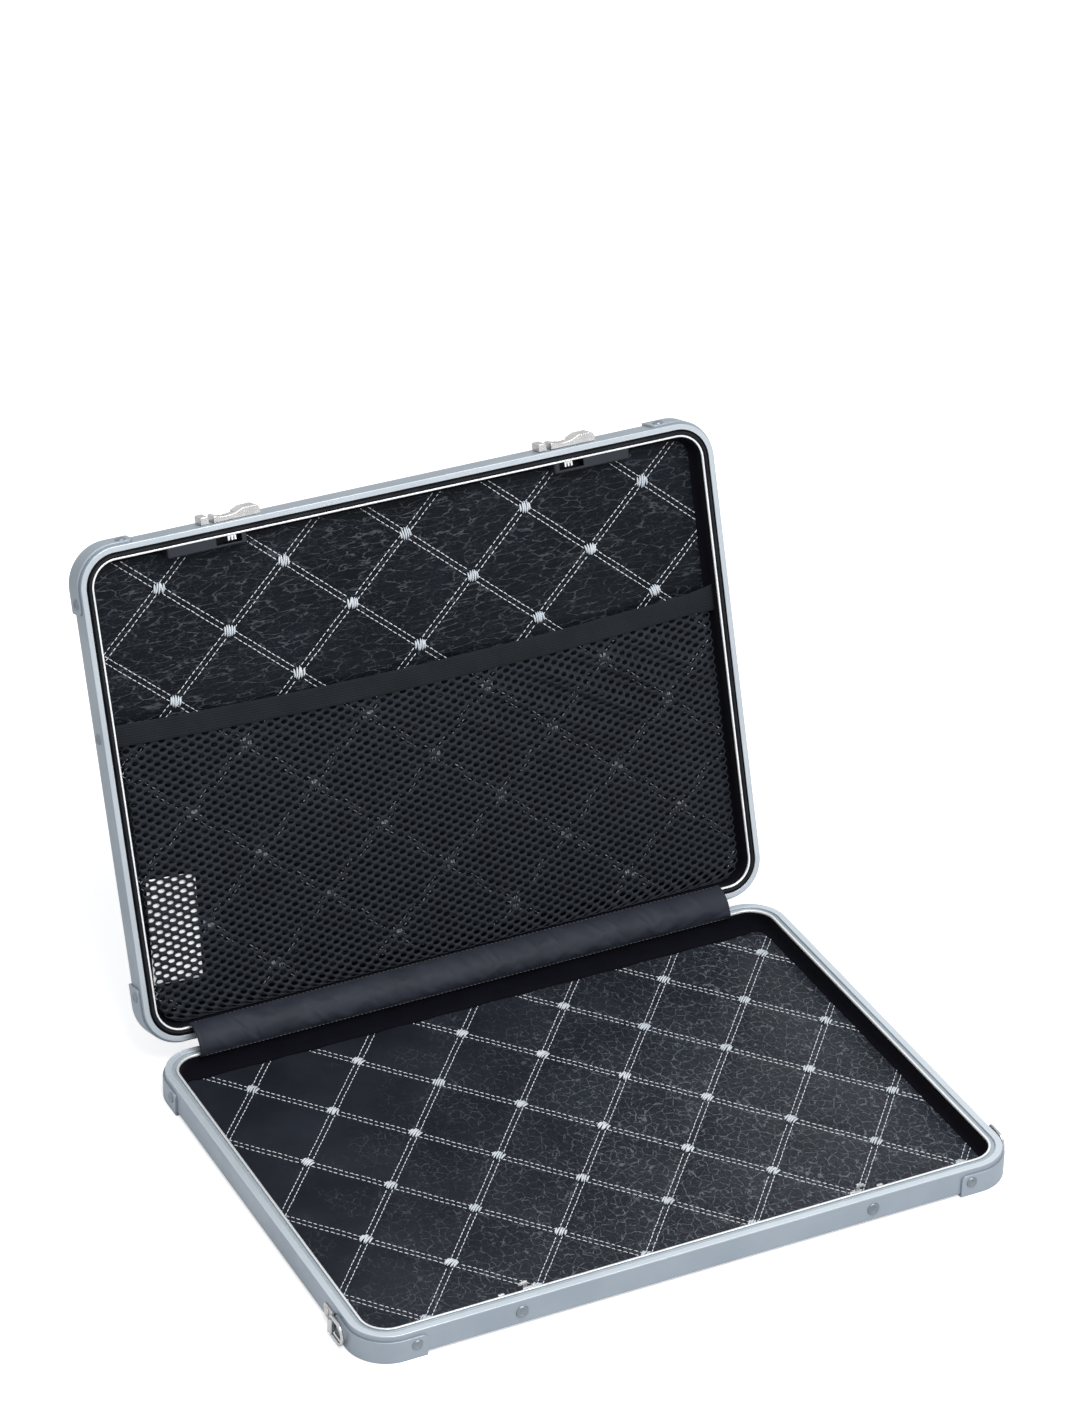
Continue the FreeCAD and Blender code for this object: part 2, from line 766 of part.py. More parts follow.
baseLeaves = []
lidLeaves = []
hingePins = []
for s in (-1, 1):
    middle = s * hingePlace
    baseLeaves.append(hingeLeaf(middle, 0, -1))
    lidLeaves.append(hingeLeaf(middle, 1, 1))
    hingePins.append(hingeBarrel(pinRadius, middle - hingeWidth / 2, middle + hingeWidth / 2))


# Cloth cover over the hinge, taut between the two inner lips when open
def openPoint(y, z):
    """plan depth and height of a closed-lid point once the lid stands open"""
    turn = math.radians(-openAngle)
    dy = y - axisY
    dz = z - axisZ
    return (axisY + dy * math.cos(turn) - dz * math.sin(turn), axisZ + dy * math.sin(turn) + dz * math.cos(turn))


baseFaceY = backY - baseLipEnd
lidFaceY = backY - lidLipEnd - softGap
coverOutline = [
    (baseFaceY, baseRim - coverBaseLap),
    (baseFaceY, baseRim + coverRise),
    openPoint(lidFaceY, lidRim - coverRise),
    openPoint(lidFaceY, lidRim + coverLidLap),
    openPoint(lidFaceY - coverThick, lidRim + coverLidLap),
    openPoint(lidFaceY - coverThick, lidRim - coverRise),
    (baseFaceY - coverThick, baseRim + coverRise),
    (baseFaceY - coverThick, baseRim - coverBaseLap),
]
coverPoints = [Vec(-coverWidth / 2, y, z) for y, z in coverOutline]
hingeCover = Part.Face(Part.makePolygon(coverPoints + [coverPoints[0]])).extrude(Vec(coverWidth, 0, 0))

# Elastic band: a strap with a slight sag, its tabs against the side walls
bandHalf = caseWidth / 2 - lidLipEnd + slideFit
bandHigh = rimHeight(bandDrop)
bandLow = bandHigh - bandThick


def bowedEdge(half, place, sag, z, forward):
    ends = [Vec(-half, place, z), Vec(half, place, z)]
    if not forward:
        ends.reverse()
    return Part.Arc(ends[0], Vec(0, place + sag, z), ends[1]).toShape()


upper = bowedEdge(bandHalf, bandPlace - bandWidth / 2, bandSag, bandLow, True)
lower = bowedEdge(bandHalf, bandPlace + bandWidth / 2, bandSag, bandLow, False)
bandFace = Part.Face(Part.Wire([
    upper,
    Part.makeLine(Vec(bandHalf, bandPlace - bandWidth / 2, bandLow), Vec(bandHalf, bandPlace + bandWidth / 2, bandLow)),
    lower,
    Part.makeLine(Vec(-bandHalf, bandPlace + bandWidth / 2, bandLow), Vec(-bandHalf, bandPlace - bandWidth / 2, bandLow)),
]))
elastic = bandFace.extrude(Vec(0, 0, bandThick))
tabs = []
for s in (-1, 1):
    near = s * (bandHalf - bandTabThick)
    far = s * bandHalf
    tabs.append(box(min(near, far), max(near, far), bandPlace - bandWidth / 2, bandPlace + bandWidth / 2,
                    quiltTop + softGap, bandLow))
elastic = elastic.multiFuse(tabs).removeSplitter()

# Mesh pocket: one holed sheet sewn behind the band and round the lower walls
meshHalf = bandHalf - meshSideGap
meshTop = bandLow
meshLow = meshTop - meshThick
meshUpper = bandPlace + bandWidth / 2 - meshTopLap
meshBottom = caseDepth / 2 - lidLipEnd - meshBottomGap
cornerK = meshCornerRadius * (1 - math.sqrt(0.5))
meshOutline = [
    bowedEdge(meshHalf, meshUpper, bandSag, meshLow, True),
    Part.makeLine(Vec(meshHalf, meshUpper, meshLow), Vec(meshHalf, meshBottom - meshCornerRadius, meshLow)),
    Part.Arc(Vec(meshHalf, meshBottom - meshCornerRadius, meshLow),
             Vec(meshHalf - cornerK, meshBottom - cornerK, meshLow),
             Vec(meshHalf - meshCornerRadius, meshBottom, meshLow)).toShape(),
    Part.makeLine(Vec(meshHalf - meshCornerRadius, meshBottom, meshLow), Vec(meshCornerRadius - meshHalf, meshBottom, meshLow)),
    Part.Arc(Vec(meshCornerRadius - meshHalf, meshBottom, meshLow),
             Vec(cornerK - meshHalf, meshBottom - cornerK, meshLow),
             Vec(-meshHalf, meshBottom - meshCornerRadius, meshLow)).toShape(),
    Part.makeLine(Vec(-meshHalf, meshBottom - meshCornerRadius, meshLow), Vec(-meshHalf, meshUpper, meshLow)),
]
meshWires = [Part.Wire(meshOutline)]
meshRows = int((meshBottom - meshUpper) / meshPitchY)
meshColumns = int(meshHalf / meshPitchX)
for row in range(meshRows):
    y = meshBottom - meshMargin - meshHoleWidth / 2 - row * meshPitchY
    shift = (row % 2) * meshPitchX / 2
    for column in range(-meshColumns, meshColumns + 1):
        x = column * meshPitchX + shift
        topHere = meshUpper + bandSag + meshTopLap + meshHoleWidth / 2
        outside = max(abs(x) + meshHoleLength / 2 - (meshHalf - meshCornerRadius), 0)
        below = max(y + meshHoleWidth / 2 - (meshBottom - meshCornerRadius), 0)
        if y < topHere or math.hypot(outside, below) > meshCornerRadius - meshMargin / 2:
            continue
        diamond = [
            Vec(x - meshHoleLength / 2, y, meshLow),
            Vec(x, y + meshHoleWidth / 2, meshLow),
            Vec(x + meshHoleLength / 2, y, meshLow),
            Vec(x, y - meshHoleWidth / 2, meshLow),
        ]
        meshWires.append(Part.makePolygon(diamond + [diamond[0]]))
mesh = Part.Face(meshWires, "Part::FaceMakerBullseye").extrude(Vec(0, 0, meshThick))

# Blank label on the lid's lining, behind the mesh
label = box(-labelWidth / 2, labelWidth / 2, -labelLength / 2, labelLength / 2, quiltTop, quiltTop + labelThick)
label.rotate(Vec(0, 0, 0), zAxis, labelTurn)
label.translate(Vec(labelPlaceX, labelPlaceY, 0))

nodes = {
    "base_frame": toBase(baseFrame),
    "base_panel": toBase(panel),
    "base_quilted_lining": toBase(baseLining),
    "base_tufts": toBase(baseTufts),
    "base_side_lining": toBase(baseSide),
    "base_corner_rivets": toBase(capRivets),
    "keeper_left": toBase(keeper(-1)),
    "keeper_right": toBase(keeper(1)),
    "keeper_rivets": toBase(keeperRivets),
    "ring_clip_left": toBase(clipSolid(-1)),
    "ring_clip_right": toBase(clipSolid(1)),
    "ring_clip_rivets": toBase(clipRivets),
    "base_hinge_leaves": Part.makeCompound(baseLeaves),
    "hinge_pins": Part.makeCompound(hingePins),
    "base_hinge_rivets": toBase(hingeRivets),
    "hinge_cover": hingeCover,
    "strap_ring_left": toBase(strapRing(-1)),
    "strap_ring_right": toBase(strapRing(1)),
    "lid_frame": toLid(lidFrame),
    "lid_seal": toLid(seal),
    "lid_panel": toLid(panel),
    "lid_quilted_lining": toLid(lidLining),
    "lid_tufts": toLid(lidTufts),
    "lid_side_lining": toLid(lidSide),
    "lid_corner_rivets": toLid(capRivets),
    "band_rivets": toLid(bandRivets),
    "elastic_band": toLid(elastic),
    "mesh_pocket": toLid(mesh),
    "blank_label": toLid(label),
    "lid_hinge_leaves": openLid(Part.makeCompound(lidLeaves)),
    "lid_hinge_rivets": toLid(hingeRivets),
    "latch_housing_left": toLid(latchHousing(-1)),
    "latch_housing_right": toLid(latchHousing(1)),
    "latch_block_left": toLid(latchBlock(latchLeftStart)),
    "latch_block_right": toLid(latchBlock(latchRightStart)),
    "latch_slider_left": toLid(sliderCast(-1, latchLeftStart)),
    "latch_slider_right": toLid(sliderCast(1, latchRightStart)),
    "latch_bolt_left": toLid(latchBolt(-1)),
    "latch_bolt_right": toLid(latchBolt(1)),
}
for corner, shape in caps.items():
    nodes["base_corner_cap_" + corner] = toBase(shape)
    nodes["lid_corner_cap_" + corner] = toLid(shape)

# The origin is the middle of the open case's footprint, at the feet
lows = []
highs = []
for shape in nodes.values():
    span = shape.optimalBoundingBox(False, False)
    lows.append(span.YMin)
    highs.append(span.YMax)
middleY = (min(lows) + max(highs)) / 2
print("middle of the footprint", middleY)

for name, shape in nodes.items():
    shape.translate(Vec(0, -middleY, 0))
    for solid in shape.Solids:
        if not solid.isValid() or solid.Volume <= 0:
            print("check", name, solid.isValid(), solid.Volume)
    shape.exportStep("parts/" + name + ".step")
    print(name, len(shape.Solids), round(shape.Volume, 1))
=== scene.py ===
import bmesh
import bpy
import math
import numpy as np
from mathutils import Matrix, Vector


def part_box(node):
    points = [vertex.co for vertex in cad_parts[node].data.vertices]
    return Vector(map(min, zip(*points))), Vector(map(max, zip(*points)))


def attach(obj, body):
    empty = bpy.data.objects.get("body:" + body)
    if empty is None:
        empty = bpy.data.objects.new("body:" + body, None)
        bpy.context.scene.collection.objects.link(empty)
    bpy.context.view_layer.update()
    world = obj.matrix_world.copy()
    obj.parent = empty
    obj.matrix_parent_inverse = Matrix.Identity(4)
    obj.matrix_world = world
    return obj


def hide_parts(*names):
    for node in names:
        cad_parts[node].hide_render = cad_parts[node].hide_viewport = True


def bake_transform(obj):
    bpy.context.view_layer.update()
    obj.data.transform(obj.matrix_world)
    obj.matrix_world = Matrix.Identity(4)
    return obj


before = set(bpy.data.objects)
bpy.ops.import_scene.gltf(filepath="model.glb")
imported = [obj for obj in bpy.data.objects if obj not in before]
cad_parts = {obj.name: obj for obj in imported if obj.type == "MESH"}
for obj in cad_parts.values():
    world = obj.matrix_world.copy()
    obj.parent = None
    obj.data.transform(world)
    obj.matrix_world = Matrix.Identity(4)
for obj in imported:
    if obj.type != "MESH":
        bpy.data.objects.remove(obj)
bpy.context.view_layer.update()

# millimetres in the case's own plan: x along the hinge, y to the back, h up from a half's outer face
case = {"width": 385.0, "depth": 282.0, "half": 15.2, "radius": 22.0, "foot": 1.5, "gap": 0.3,
        "openDegrees": 107.7, "axisBack": 2.5}
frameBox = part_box("base_frame")
middleY = -500.0 * (frameBox[0][1] + frameBox[1][1])  # the plan's middle sits forward of the origin
axisY = case["depth"] / 2 + case["axisBack"]
axisZ = case["foot"] + case["half"] + case["gap"] / 2
caseW, caseD, caseR = case["width"] / 2, case["depth"] / 2, case["radius"]
print("frame loaded, plan middle", round(middleY, 3))


# shared shape helpers

def placePoints(points, half):
    # base: lifted by the feet. lid: h is turned over, then swung back by the open angle about the hinge axis
    x, y, h = points[..., 0], points[..., 1], points[..., 2]
    z = h + case["foot"]
    if half == "lid":
        closed = case["foot"] + 2 * case["half"] + case["gap"] - h
        turn = -math.radians(case["openDegrees"])
        dy, dz = y - axisY, closed - axisZ
        y = axisY + dy * math.cos(turn) - dz * math.sin(turn)
        z = axisZ + dy * math.sin(turn) + dz * math.cos(turn)
    return np.stack([x, y - middleY, z], -1) / 1000.0


def gridQuads(rows, cols, wrapRows=False, wrapCols=False, start=0):
    # quad k joins grid places (i, j), (i, j+1), (i+1, j+1), (i+1, j)
    i, j = np.meshgrid(np.arange(rows - (not wrapRows)), np.arange(cols - (not wrapCols)), indexing="ij")
    down, over = (i + 1) % rows, (j + 1) % cols
    quads = np.stack([i * cols + j, i * cols + over, down * cols + over, down * cols + j], -1)
    return quads.reshape(-1, 4) + start


def softNoise(x, y, size, seed):
    # a table of random heights, blended between neighbours with 3t^2 - 2t^3
    table = np.random.default_rng(seed).random((64, 64))
    u, v = x / size, y / size
    i, j = np.floor(u).astype(int), np.floor(v).astype(int)
    s, t = u - i, v - j
    s, t = s * s * (3 - 2 * s), t * t * (3 - 2 * t)
    top = table[i % 64, j % 64] * (1 - s) + table[(i + 1) % 64, j % 64] * s
    low = table[i % 64, (j + 1) % 64] * (1 - s) + table[(i + 1) % 64, (j + 1) % 64] * s
    return top * (1 - t) + low * t - 0.5


def lengthAlong(line):
    # the walked length at each point of a line
    return np.concatenate([[0], np.cumsum(np.linalg.norm(np.diff(line, axis=0), axis=1))])


def lineNormals(line):
    # the line's own direction at each point, turned a quarter
    slope = np.gradient(line, axis=0)
    slope /= np.linalg.norm(slope, axis=1)[:, None]
    return np.stack([-slope[:, 1], slope[:, 0]], -1)


def linkObject(name, data):
    made = bpy.data.objects.new(name, data)
    bpy.context.scene.collection.objects.link(made)
    return made


def placeTurned(name, data, place, axes):
    # an object whose x, y and z directions are the three given ones
    made = linkObject(name, data)
    made.matrix_world = Matrix.Translation(place) @ Matrix(np.stack(axes, 1).tolist()).to_4x4()
    return made


def evenNormals(piece, keepSharp):
    lift = piece.modifiers.new("evenNormals", "WEIGHTED_NORMAL")
    lift.keep_sharp = keepSharp


def addPiece(name, shape, half, material, body, node=None, flat=None, weighted=False):
    # points in plan millimetres are placed, a shell is turned to face outwards by its signed volume
    mesh = bpy.data.meshes.new(name)
    placed = placePoints(np.asarray(shape[0], float).reshape(-1, 3), half)
    mesh.from_pydata(placed.tolist(), [], [list(map(int, f)) for f in shape[1]])
    mesh.calc_loop_triangles()
    corners = np.zeros(len(mesh.loop_triangles) * 3, int)
    mesh.loop_triangles.foreach_get("vertices", corners)
    a, b, c = (placed[corners.reshape(-1, 3)[:, k]] - placed.mean(0) for k in range(3))
    if (a * np.cross(b, c)).sum() < 0:
        mesh.flip_normals()
    if flat is not None:
        layer = mesh.attributes.new("flatPlace", "FLOAT_VECTOR", "POINT")
        layer.data.foreach_set("vector", np.asarray(flat, float).reshape(-1))
    mesh.materials.append(bpy.data.materials[material])
    mesh.shade_smooth()
    piece = linkObject(name, mesh)
    if weighted:
        mesh.set_sharp_from_angle(angle=math.radians(40))
        evenNormals(piece, True)
    if body:
        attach(piece, body)
    if node:
        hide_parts(node)
    return piece


def roundedProfile(corners, steps=3):
    # each corner (across, up, radius) becomes an arc that is tangent to its two sides
    out = []
    for k, (px, py, radius) in enumerate(corners):
        p = np.array([px, py], float)
        if not radius:
            out.append(p)
            continue
        a = np.array(corners[k - 1][:2], float) - p
        b = np.array(corners[(k + 1) % len(corners)][:2], float) - p
        a, b = a / np.linalg.norm(a), b / np.linalg.norm(b)
        opening = math.acos(float(np.clip(a @ b, -1, 1))) / 2
        centre = p + (a + b) / np.linalg.norm(a + b) * radius / math.sin(opening)
        first, last = p + a * radius / math.tan(opening) - centre, p + b * radius / math.tan(opening) - centre
        whole = math.acos(float(np.clip(first @ last / radius ** 2, -1, 1)))
        for w in np.linspace(0, 1, steps + 1):
            out.append(centre + (math.sin((1 - w) * whole) * first + math.sin(w * whole) * last) / math.sin(whole))
    return np.array(out)


def wallPath(cornerSteps=20, straightStep=400.0):
    # closed walk round the plan: points on the outer wall and the unit normals that point out of the case
    w, d, r = caseW, caseD, caseR
    centres = [(w - r, d - r, 0), (r - w, d - r, 90), (r - w, r - d, 180), (w - r, r - d, 270)]
    points, normals = [], []
    for k, (cx, cy, startAngle) in enumerate(centres):
        angle = np.radians(startAngle + np.linspace(0, 90, cornerSteps + 1))
        normal = np.stack([np.cos(angle), np.sin(angle)], -1)
        points.append(np.array([cx, cy]) + r * normal)
        normals.append(normal)
        nx, ny, _ = centres[(k + 1) % 4]
        gap = math.hypot(nx - cx, ny - cy)
        inner = np.linspace(0, 1, max(int(gap / straightStep), 1) + 1)[1:-1, None]
        points.append(points[-1][-1] + inner * (np.array([nx, ny]) - np.array([cx, cy])))
        normals.append(np.repeat(normal[-1:], len(inner), 0))
    return np.concatenate(points), np.concatenate(normals)


def sweepWall(profile, path=None):
    # profile (d, h) carried round the wall: place - d * outward normal, at height h
    points, normals = path or wallPath()
    plan = points[:, None, :] - profile[None, :, :1] * normals[:, None, :]
    high = np.broadcast_to(profile[None, :, 1:], plan.shape[:2] + (1,))
    return np.concatenate([plan, high], -1)


def strands(centres, along, up, length, radius, arch, sections=4, sides=5):
    # thread capsules: radius * sqrt(1 - t^4) round a line that arches over by arch * (1 - t^2)
    t = np.linspace(-0.96, 0.96, sections)
    turn = np.arange(sides) / sides * 2 * np.pi
    across = np.cross(up, along)
    length, radius = np.broadcast_to(length, len(centres)), np.broadcast_to(radius, len(centres))
    spine = centres[:, None] + along[:, None] * (t[None, :, None] * length[:, None, None] / 2)
    spine = spine + up[:, None] * (arch * (1 - t ** 2))[None, :, None]
    wide = radius[:, None] * np.sqrt(1 - t[None] ** 4)
    ring = across[:, None, None] * np.cos(turn)[:, None] + up[:, None, None] * np.sin(turn)[:, None]
    points = spine[:, :, None] + ring * wide[:, :, None, None]
    quads = gridQuads(sections, sides, wrapCols=True)
    step = sections * sides
    shift = (np.arange(len(centres)) * step)[:, None, None]
    body = (quads[None] + shift).reshape(-1, 4)
    ends = np.stack([np.arange(sides)[::-1], np.arange(step - sides, step)])
    caps = (ends[None] + shift).reshape(-1, sides)
    return points.reshape(-1, 3), body.tolist() + caps.tolist()


def joinParts(parts):
    # several point and face lists become one mesh
    points, faces, start = [], [], 0
    for partPoints, partFaces in parts:
        flat = np.asarray(partPoints, float).reshape(-1, 3)
        points.append(flat)
        faces += [[int(v) + start for v in f] for f in partFaces]
        start += len(flat)
    return np.concatenate(points), faces


def closedSweep(points):
    # a grid of stations by closed section, its two end sections filled
    rows, cols = points.shape[:2]
    faces = gridQuads(rows, cols, wrapCols=True).tolist()
    faces.append(list(range(cols))[::-1])
    faces.append(list(range((rows - 1) * cols, rows * cols)))
    return points, faces


def rimOf(index):
    # the places round the border of a grid, walked once
    return np.concatenate([index[0, :-1], index[:-1, -1], index[-1, :0:-1], index[:0:-1, 0]])


def softenedCopy(name, node, body, material, width):
    # the CAD node's own shape with its triangles merged and every edge eased by a small bevel
    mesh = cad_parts[node].data.copy()
    mesh.name = name
    piece = linkObject(name, mesh)
    mesh.materials.clear()
    mesh.materials.append(bpy.data.materials[material])
    bm = bmesh.new()
    bm.from_mesh(mesh)
    bmesh.ops.remove_doubles(bm, verts=bm.verts, dist=2e-6)
    bmesh.ops.dissolve_limit(bm, angle_limit=math.radians(1), verts=bm.verts, edges=bm.edges)
    bmesh.ops.recalc_face_normals(bm, faces=bm.faces)
    for face in bm.faces:
        face.material_index = 0
        face.smooth = True
    bm.to_mesh(mesh)
    bm.free()
    ease = piece.modifiers.new("easedEdges", "BEVEL")
    ease.width, ease.segments = width / 1000, 2
    ease.limit_method, ease.angle_limit = "ANGLE", math.radians(25)
    evenNormals(piece, False)
    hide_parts(node)
    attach(piece, body)


clothRun = {"scale": 0.01, "quality": 5, "mass": 0.3, "damping": 3.0, "stretch": 15.0, "shear": 7.5, "bend": 0.5}


def settleCloth(points, quads, pinned, pressure, shrink, frames=20):
    # Blender's own cloth run at 0.01 m per millimetre; the settled places come back and the trial object goes
    mesh = bpy.data.meshes.new("settlingCloth")
    mesh.from_pydata((points * clothRun["scale"]).tolist(), [], quads.tolist())
    trial = linkObject("settlingCloth", mesh)
    trial.vertex_groups.new(name="held").add(np.flatnonzero(pinned).tolist(), 1.0, "REPLACE")
    cloth = trial.modifiers.new("settling", "CLOTH")
    how = cloth.settings
    how.quality, how.mass, how.vertex_group_mass = clothRun["quality"], clothRun["mass"], "held"
    how.air_damping, how.shear_stiffness, how.bending_stiffness = (clothRun[k] for k in ("damping", "shear", "bend"))
    how.tension_stiffness = how.compression_stiffness = clothRun["stretch"]
    how.shrink_min, how.use_pressure, how.uniform_pressure_force = shrink, pressure > 0, pressure
    how.effector_weights.gravity = 0.0
    cloth.collision_settings.use_collision = False
    cloth.point_cache.frame_start, cloth.point_cache.frame_end = 1, frames
    for step in range(1, frames + 1):
        bpy.context.scene.frame_set(step)
    settled = trial.evaluated_get(bpy.context.evaluated_depsgraph_get())
    places = np.zeros(len(settled.data.vertices) * 3)
    settled.data.vertices.foreach_get("co", places)
    bpy.data.objects.remove(trial)
    bpy.data.meshes.remove(mesh)
    bpy.context.scene.frame_set(1)
    return places.reshape(-1, 3) / clothRun["scale"]


# shader nodes and the groups that the materials share

def feed(tree, socket, value):
    # a number or tuple becomes the socket's own value, another socket is linked to it
    if isinstance(value, (int, float, tuple)):
        socket.default_value = value
    elif value is not None:
        tree.links.new(value, socket)


def newGroup(name, inputs, outputs):
    # inputs give each label its default: a number, a vector, or None for a vector that is always linked
    group = bpy.data.node_groups.new(name, "ShaderNodeTree")
    for label, value in inputs.items():
        kind = "NodeSocketFloat" if isinstance(value, float) else "NodeSocketVector"
        socket = group.interface.new_socket(label, in_out="INPUT", socket_type=kind)
        if value is not None:
            socket.default_value = value
    for label in outputs:
        group.interface.new_socket(label, in_out="OUTPUT", socket_type="NodeSocketFloat")
    return group, group.nodes.new("NodeGroupInput").outputs, group.nodes.new("NodeGroupOutput").inputs


def addNode(tree, kind, inputs=None, **settings):
    # settings are the node's properties, inputs feed its sockets by name or number
    node = tree.nodes.new(kind)
    for key, value in settings.items():
        setattr(node, key, value)
    for key, value in (inputs or {}).items():
        feed(tree, node.inputs[key], value)
    return node


def mathNode(tree, operation, a, b=None, clamp=False):
    return addNode(tree, "ShaderNodeMath", {0: a, 1: b}, operation=operation, use_clamp=clamp).outputs[0]


def times(tree, a, b):
    return mathNode(tree, "MULTIPLY", a, b)


def vectorNode(tree, operation, a, b=None, scale=None, out=0):
    inputs = {0: a, 1: b} if scale is None else {0: a, "Scale": scale}
    return addNode(tree, "ShaderNodeVectorMath", inputs, operation=operation).outputs[out]


def noiseNode(tree, vector, scale, detail, roughness=0.5, out="Fac"):
    inputs = {"Vector": vector, "Scale": scale, "Detail": detail, "Roughness": roughness}
    return addNode(tree, "ShaderNodeTexNoise", inputs).outputs[out]


def rangeNode(tree, value, low, high, toLow=0.0, toHigh=1.0):
    inputs = {"Value": value, "From Min": low, "From Max": high, "To Min": toLow, "To Max": toHigh}
    return addNode(tree, "ShaderNodeMapRange", inputs, interpolation_type="SMOOTHSTEP").outputs["Result"]


def mixColour(tree, factor, a, b):
    # the mix node's colour sockets are inputs 6 and 7 and output 2
    a, b = (c + (1.0,) if isinstance(c, tuple) else c for c in (a, b))
    return addNode(tree, "ShaderNodeMix", {0: factor, 6: a, 7: b}, data_type="RGBA").outputs[2]


def buildGrainGroup():
    # fine even grain and a slow mottle: Height for bumps, Tone for roughness and colour
    g, source, sink = newGroup("fineGrain", {"Vector": None, "Grain": 2500.0, "Mottle": 25.0}, ("Height", "Tone"))
    feed(g, sink["Height"], noiseNode(g, source["Vector"], source["Grain"], 2.0, 0.6))
    slow = noiseNode(g, source["Vector"], source["Mottle"], 3.0, 0.55)
    feed(g, sink["Tone"], rangeNode(g, slow, 0.3, 0.7))
    return g


# noise scales per metre, then the distances from a cell's border over which a line fades and its strength
hide = {"wobble": 210.0, "breaks": 330.0, "patches": 42.0, "dots": 1300.0, "finer": 2.1,
        "large": (0.012, 0.056, 1.0), "small": (0.010, 0.066, 0.30)}


def buildHideGroup():
    # crackled leather: warped cells of two sizes, their borders thin pale lines that noise breaks up; Lean and Level
    # fade them across the piece, so their paleness is a painted highlight
    inputs = {"Vector": None, "Place": None, "Lean": (0.0, 0.0, 0.0), "Level": 1.0, "Cells": 200.0, "Warp": 0.003}
    g, source, sink = newGroup("crackedHide", inputs, ("Creases", "Speckle"))
    vector, place = source["Vector"], source["Place"]
    wobble = noiseNode(g, vector, hide["wobble"], 3.0, 0.65, "Color")
    shift = vectorNode(g, "SCALE", vectorNode(g, "SUBTRACT", wobble, (0.5, 0.5, 0.5)), scale=source["Warp"])
    moved = vectorNode(g, "ADD", vector, shift)
    breaks = noiseNode(g, vector, hide["breaks"], 2.0, 0.6)

    def borders(scale, low, high, strength, keptFrom, keptTo):
        cell = addNode(g, "ShaderNodeTexVoronoi", {"Vector": moved, "Scale": scale}, feature="DISTANCE_TO_EDGE")
        lines = rangeNode(g, cell.outputs["Distance"], low, high, strength, 0.0)
        return times(g, lines, rangeNode(g, breaks, keptFrom, keptTo))

    main = borders(source["Cells"], *hide["large"], 0.40, 0.56)
    fine = borders(times(g, source["Cells"], hide["finer"]), *hide["small"], 0.60, 0.46)
    # painted highlight: creases and flecks grow paler along Lean across the piece, broken into patches by noise
    paintedHighlightGain = mathNode(g, "ADD", vectorNode(g, "DOT_PRODUCT", place, source["Lean"], out="Value"), source["Level"])
    uneven = mathNode(g, "ADD", times(g, noiseNode(g, place, hide["patches"], 2.0), 1.2), -0.6)
    paintedHighlightMask = mathNode(g, "ADD", paintedHighlightGain, uneven, True)
    feed(g, sink["Creases"], times(g, mathNode(g, "MAXIMUM", main, fine), paintedHighlightMask))
    feed(g, sink["Speckle"], times(g, rangeNode(g, noiseNode(g, place, hide["dots"], 1.0), 0.60, 0.72), paintedHighlightMask))
    return g


def buildWeaveGroup():
    # crossing sine ribs in the cloth's own flat directions: Height up to 1 on a thread, Tone from a slow noise
    inputs = {"Vector": None, "Warp Threads": 2000.0, "Weft Threads": 2000.0}
    g, source, sink = newGroup("threadWeave", inputs, ("Height", "Tone"))
    split = addNode(g, "ShaderNodeSeparateXYZ", {0: source["Vector"]})
    waves = []
    for axis, label in enumerate(("Warp Threads", "Weft Threads")):
        turn = times(g, times(g, split.outputs[axis], source[label]), 2 * math.pi)
        waves.append(mathNode(g, "ADD", times(g, mathNode(g, "SINE", turn), 0.5), 0.5))
    feed(g, sink["Height"], times(g, *waves))
    feed(g, sink["Tone"], rangeNode(g, noiseNode(g, source["Vector"], 60.0, 3.0), 0.3, 0.7))
    return g


fineGrain = buildGrainGroup()
crackedHide = buildHideGroup()
threadWeave = buildWeaveGroup()


# materials

def newMaterial(name, colour, roughness, metallic=0.0, specular=0.5):
    material = bpy.data.materials.new(name)
    material.use_nodes = True
    shader = material.node_tree.nodes["Principled BSDF"]
    values = {"Base Color": colour + (1.0,), "Roughness": roughness, "Metallic": metallic,
              "Specular IOR Level": specular}
    for key, value in values.items():
        shader.inputs[key].default_value = value
    return material.node_tree, shader


def objectPlace(tree):
    return tree.nodes.new("ShaderNodeTexCoord").outputs["Object"]


def groupNode(tree, group, place, **inputs):
    node = addNode(tree, "ShaderNodeGroup", node_tree=group)
    feed(tree, node.inputs["Vector"], place)
    for key, value in inputs.items():
        feed(tree, node.inputs[key.replace("_", " ")], value)
    return node.outputs


def addBump(tree, shader, height, distance):
    bump = addNode(tree, "ShaderNodeBump", {"Height": height, "Distance": distance, "Strength": 1.0})
    tree.links.new(bump.outputs["Normal"], shader.inputs["Normal"])


def grainedMaterial(name, colour, darker, roughness, spread, metallic, grain, depth, mottle=25.0, specular=0.5):
    # metal and plastic: colour drifts slowly between two tones, roughness with it, fine grain in the bump
    tree, shader = newMaterial(name, colour, roughness, metallic, specular)
    group = groupNode(tree, fineGrain, objectPlace(tree), Grain=grain, Mottle=mottle)
    feed(tree, shader.inputs["Base Color"], mixColour(tree, group["Tone"], darker, colour))
    rough = rangeNode(tree, group["Tone"], 0.0, 1.0, roughness + spread, roughness - spread)
    feed(tree, shader.inputs["Roughness"], rough)
    addBump(tree, shader, group["Height"], depth)


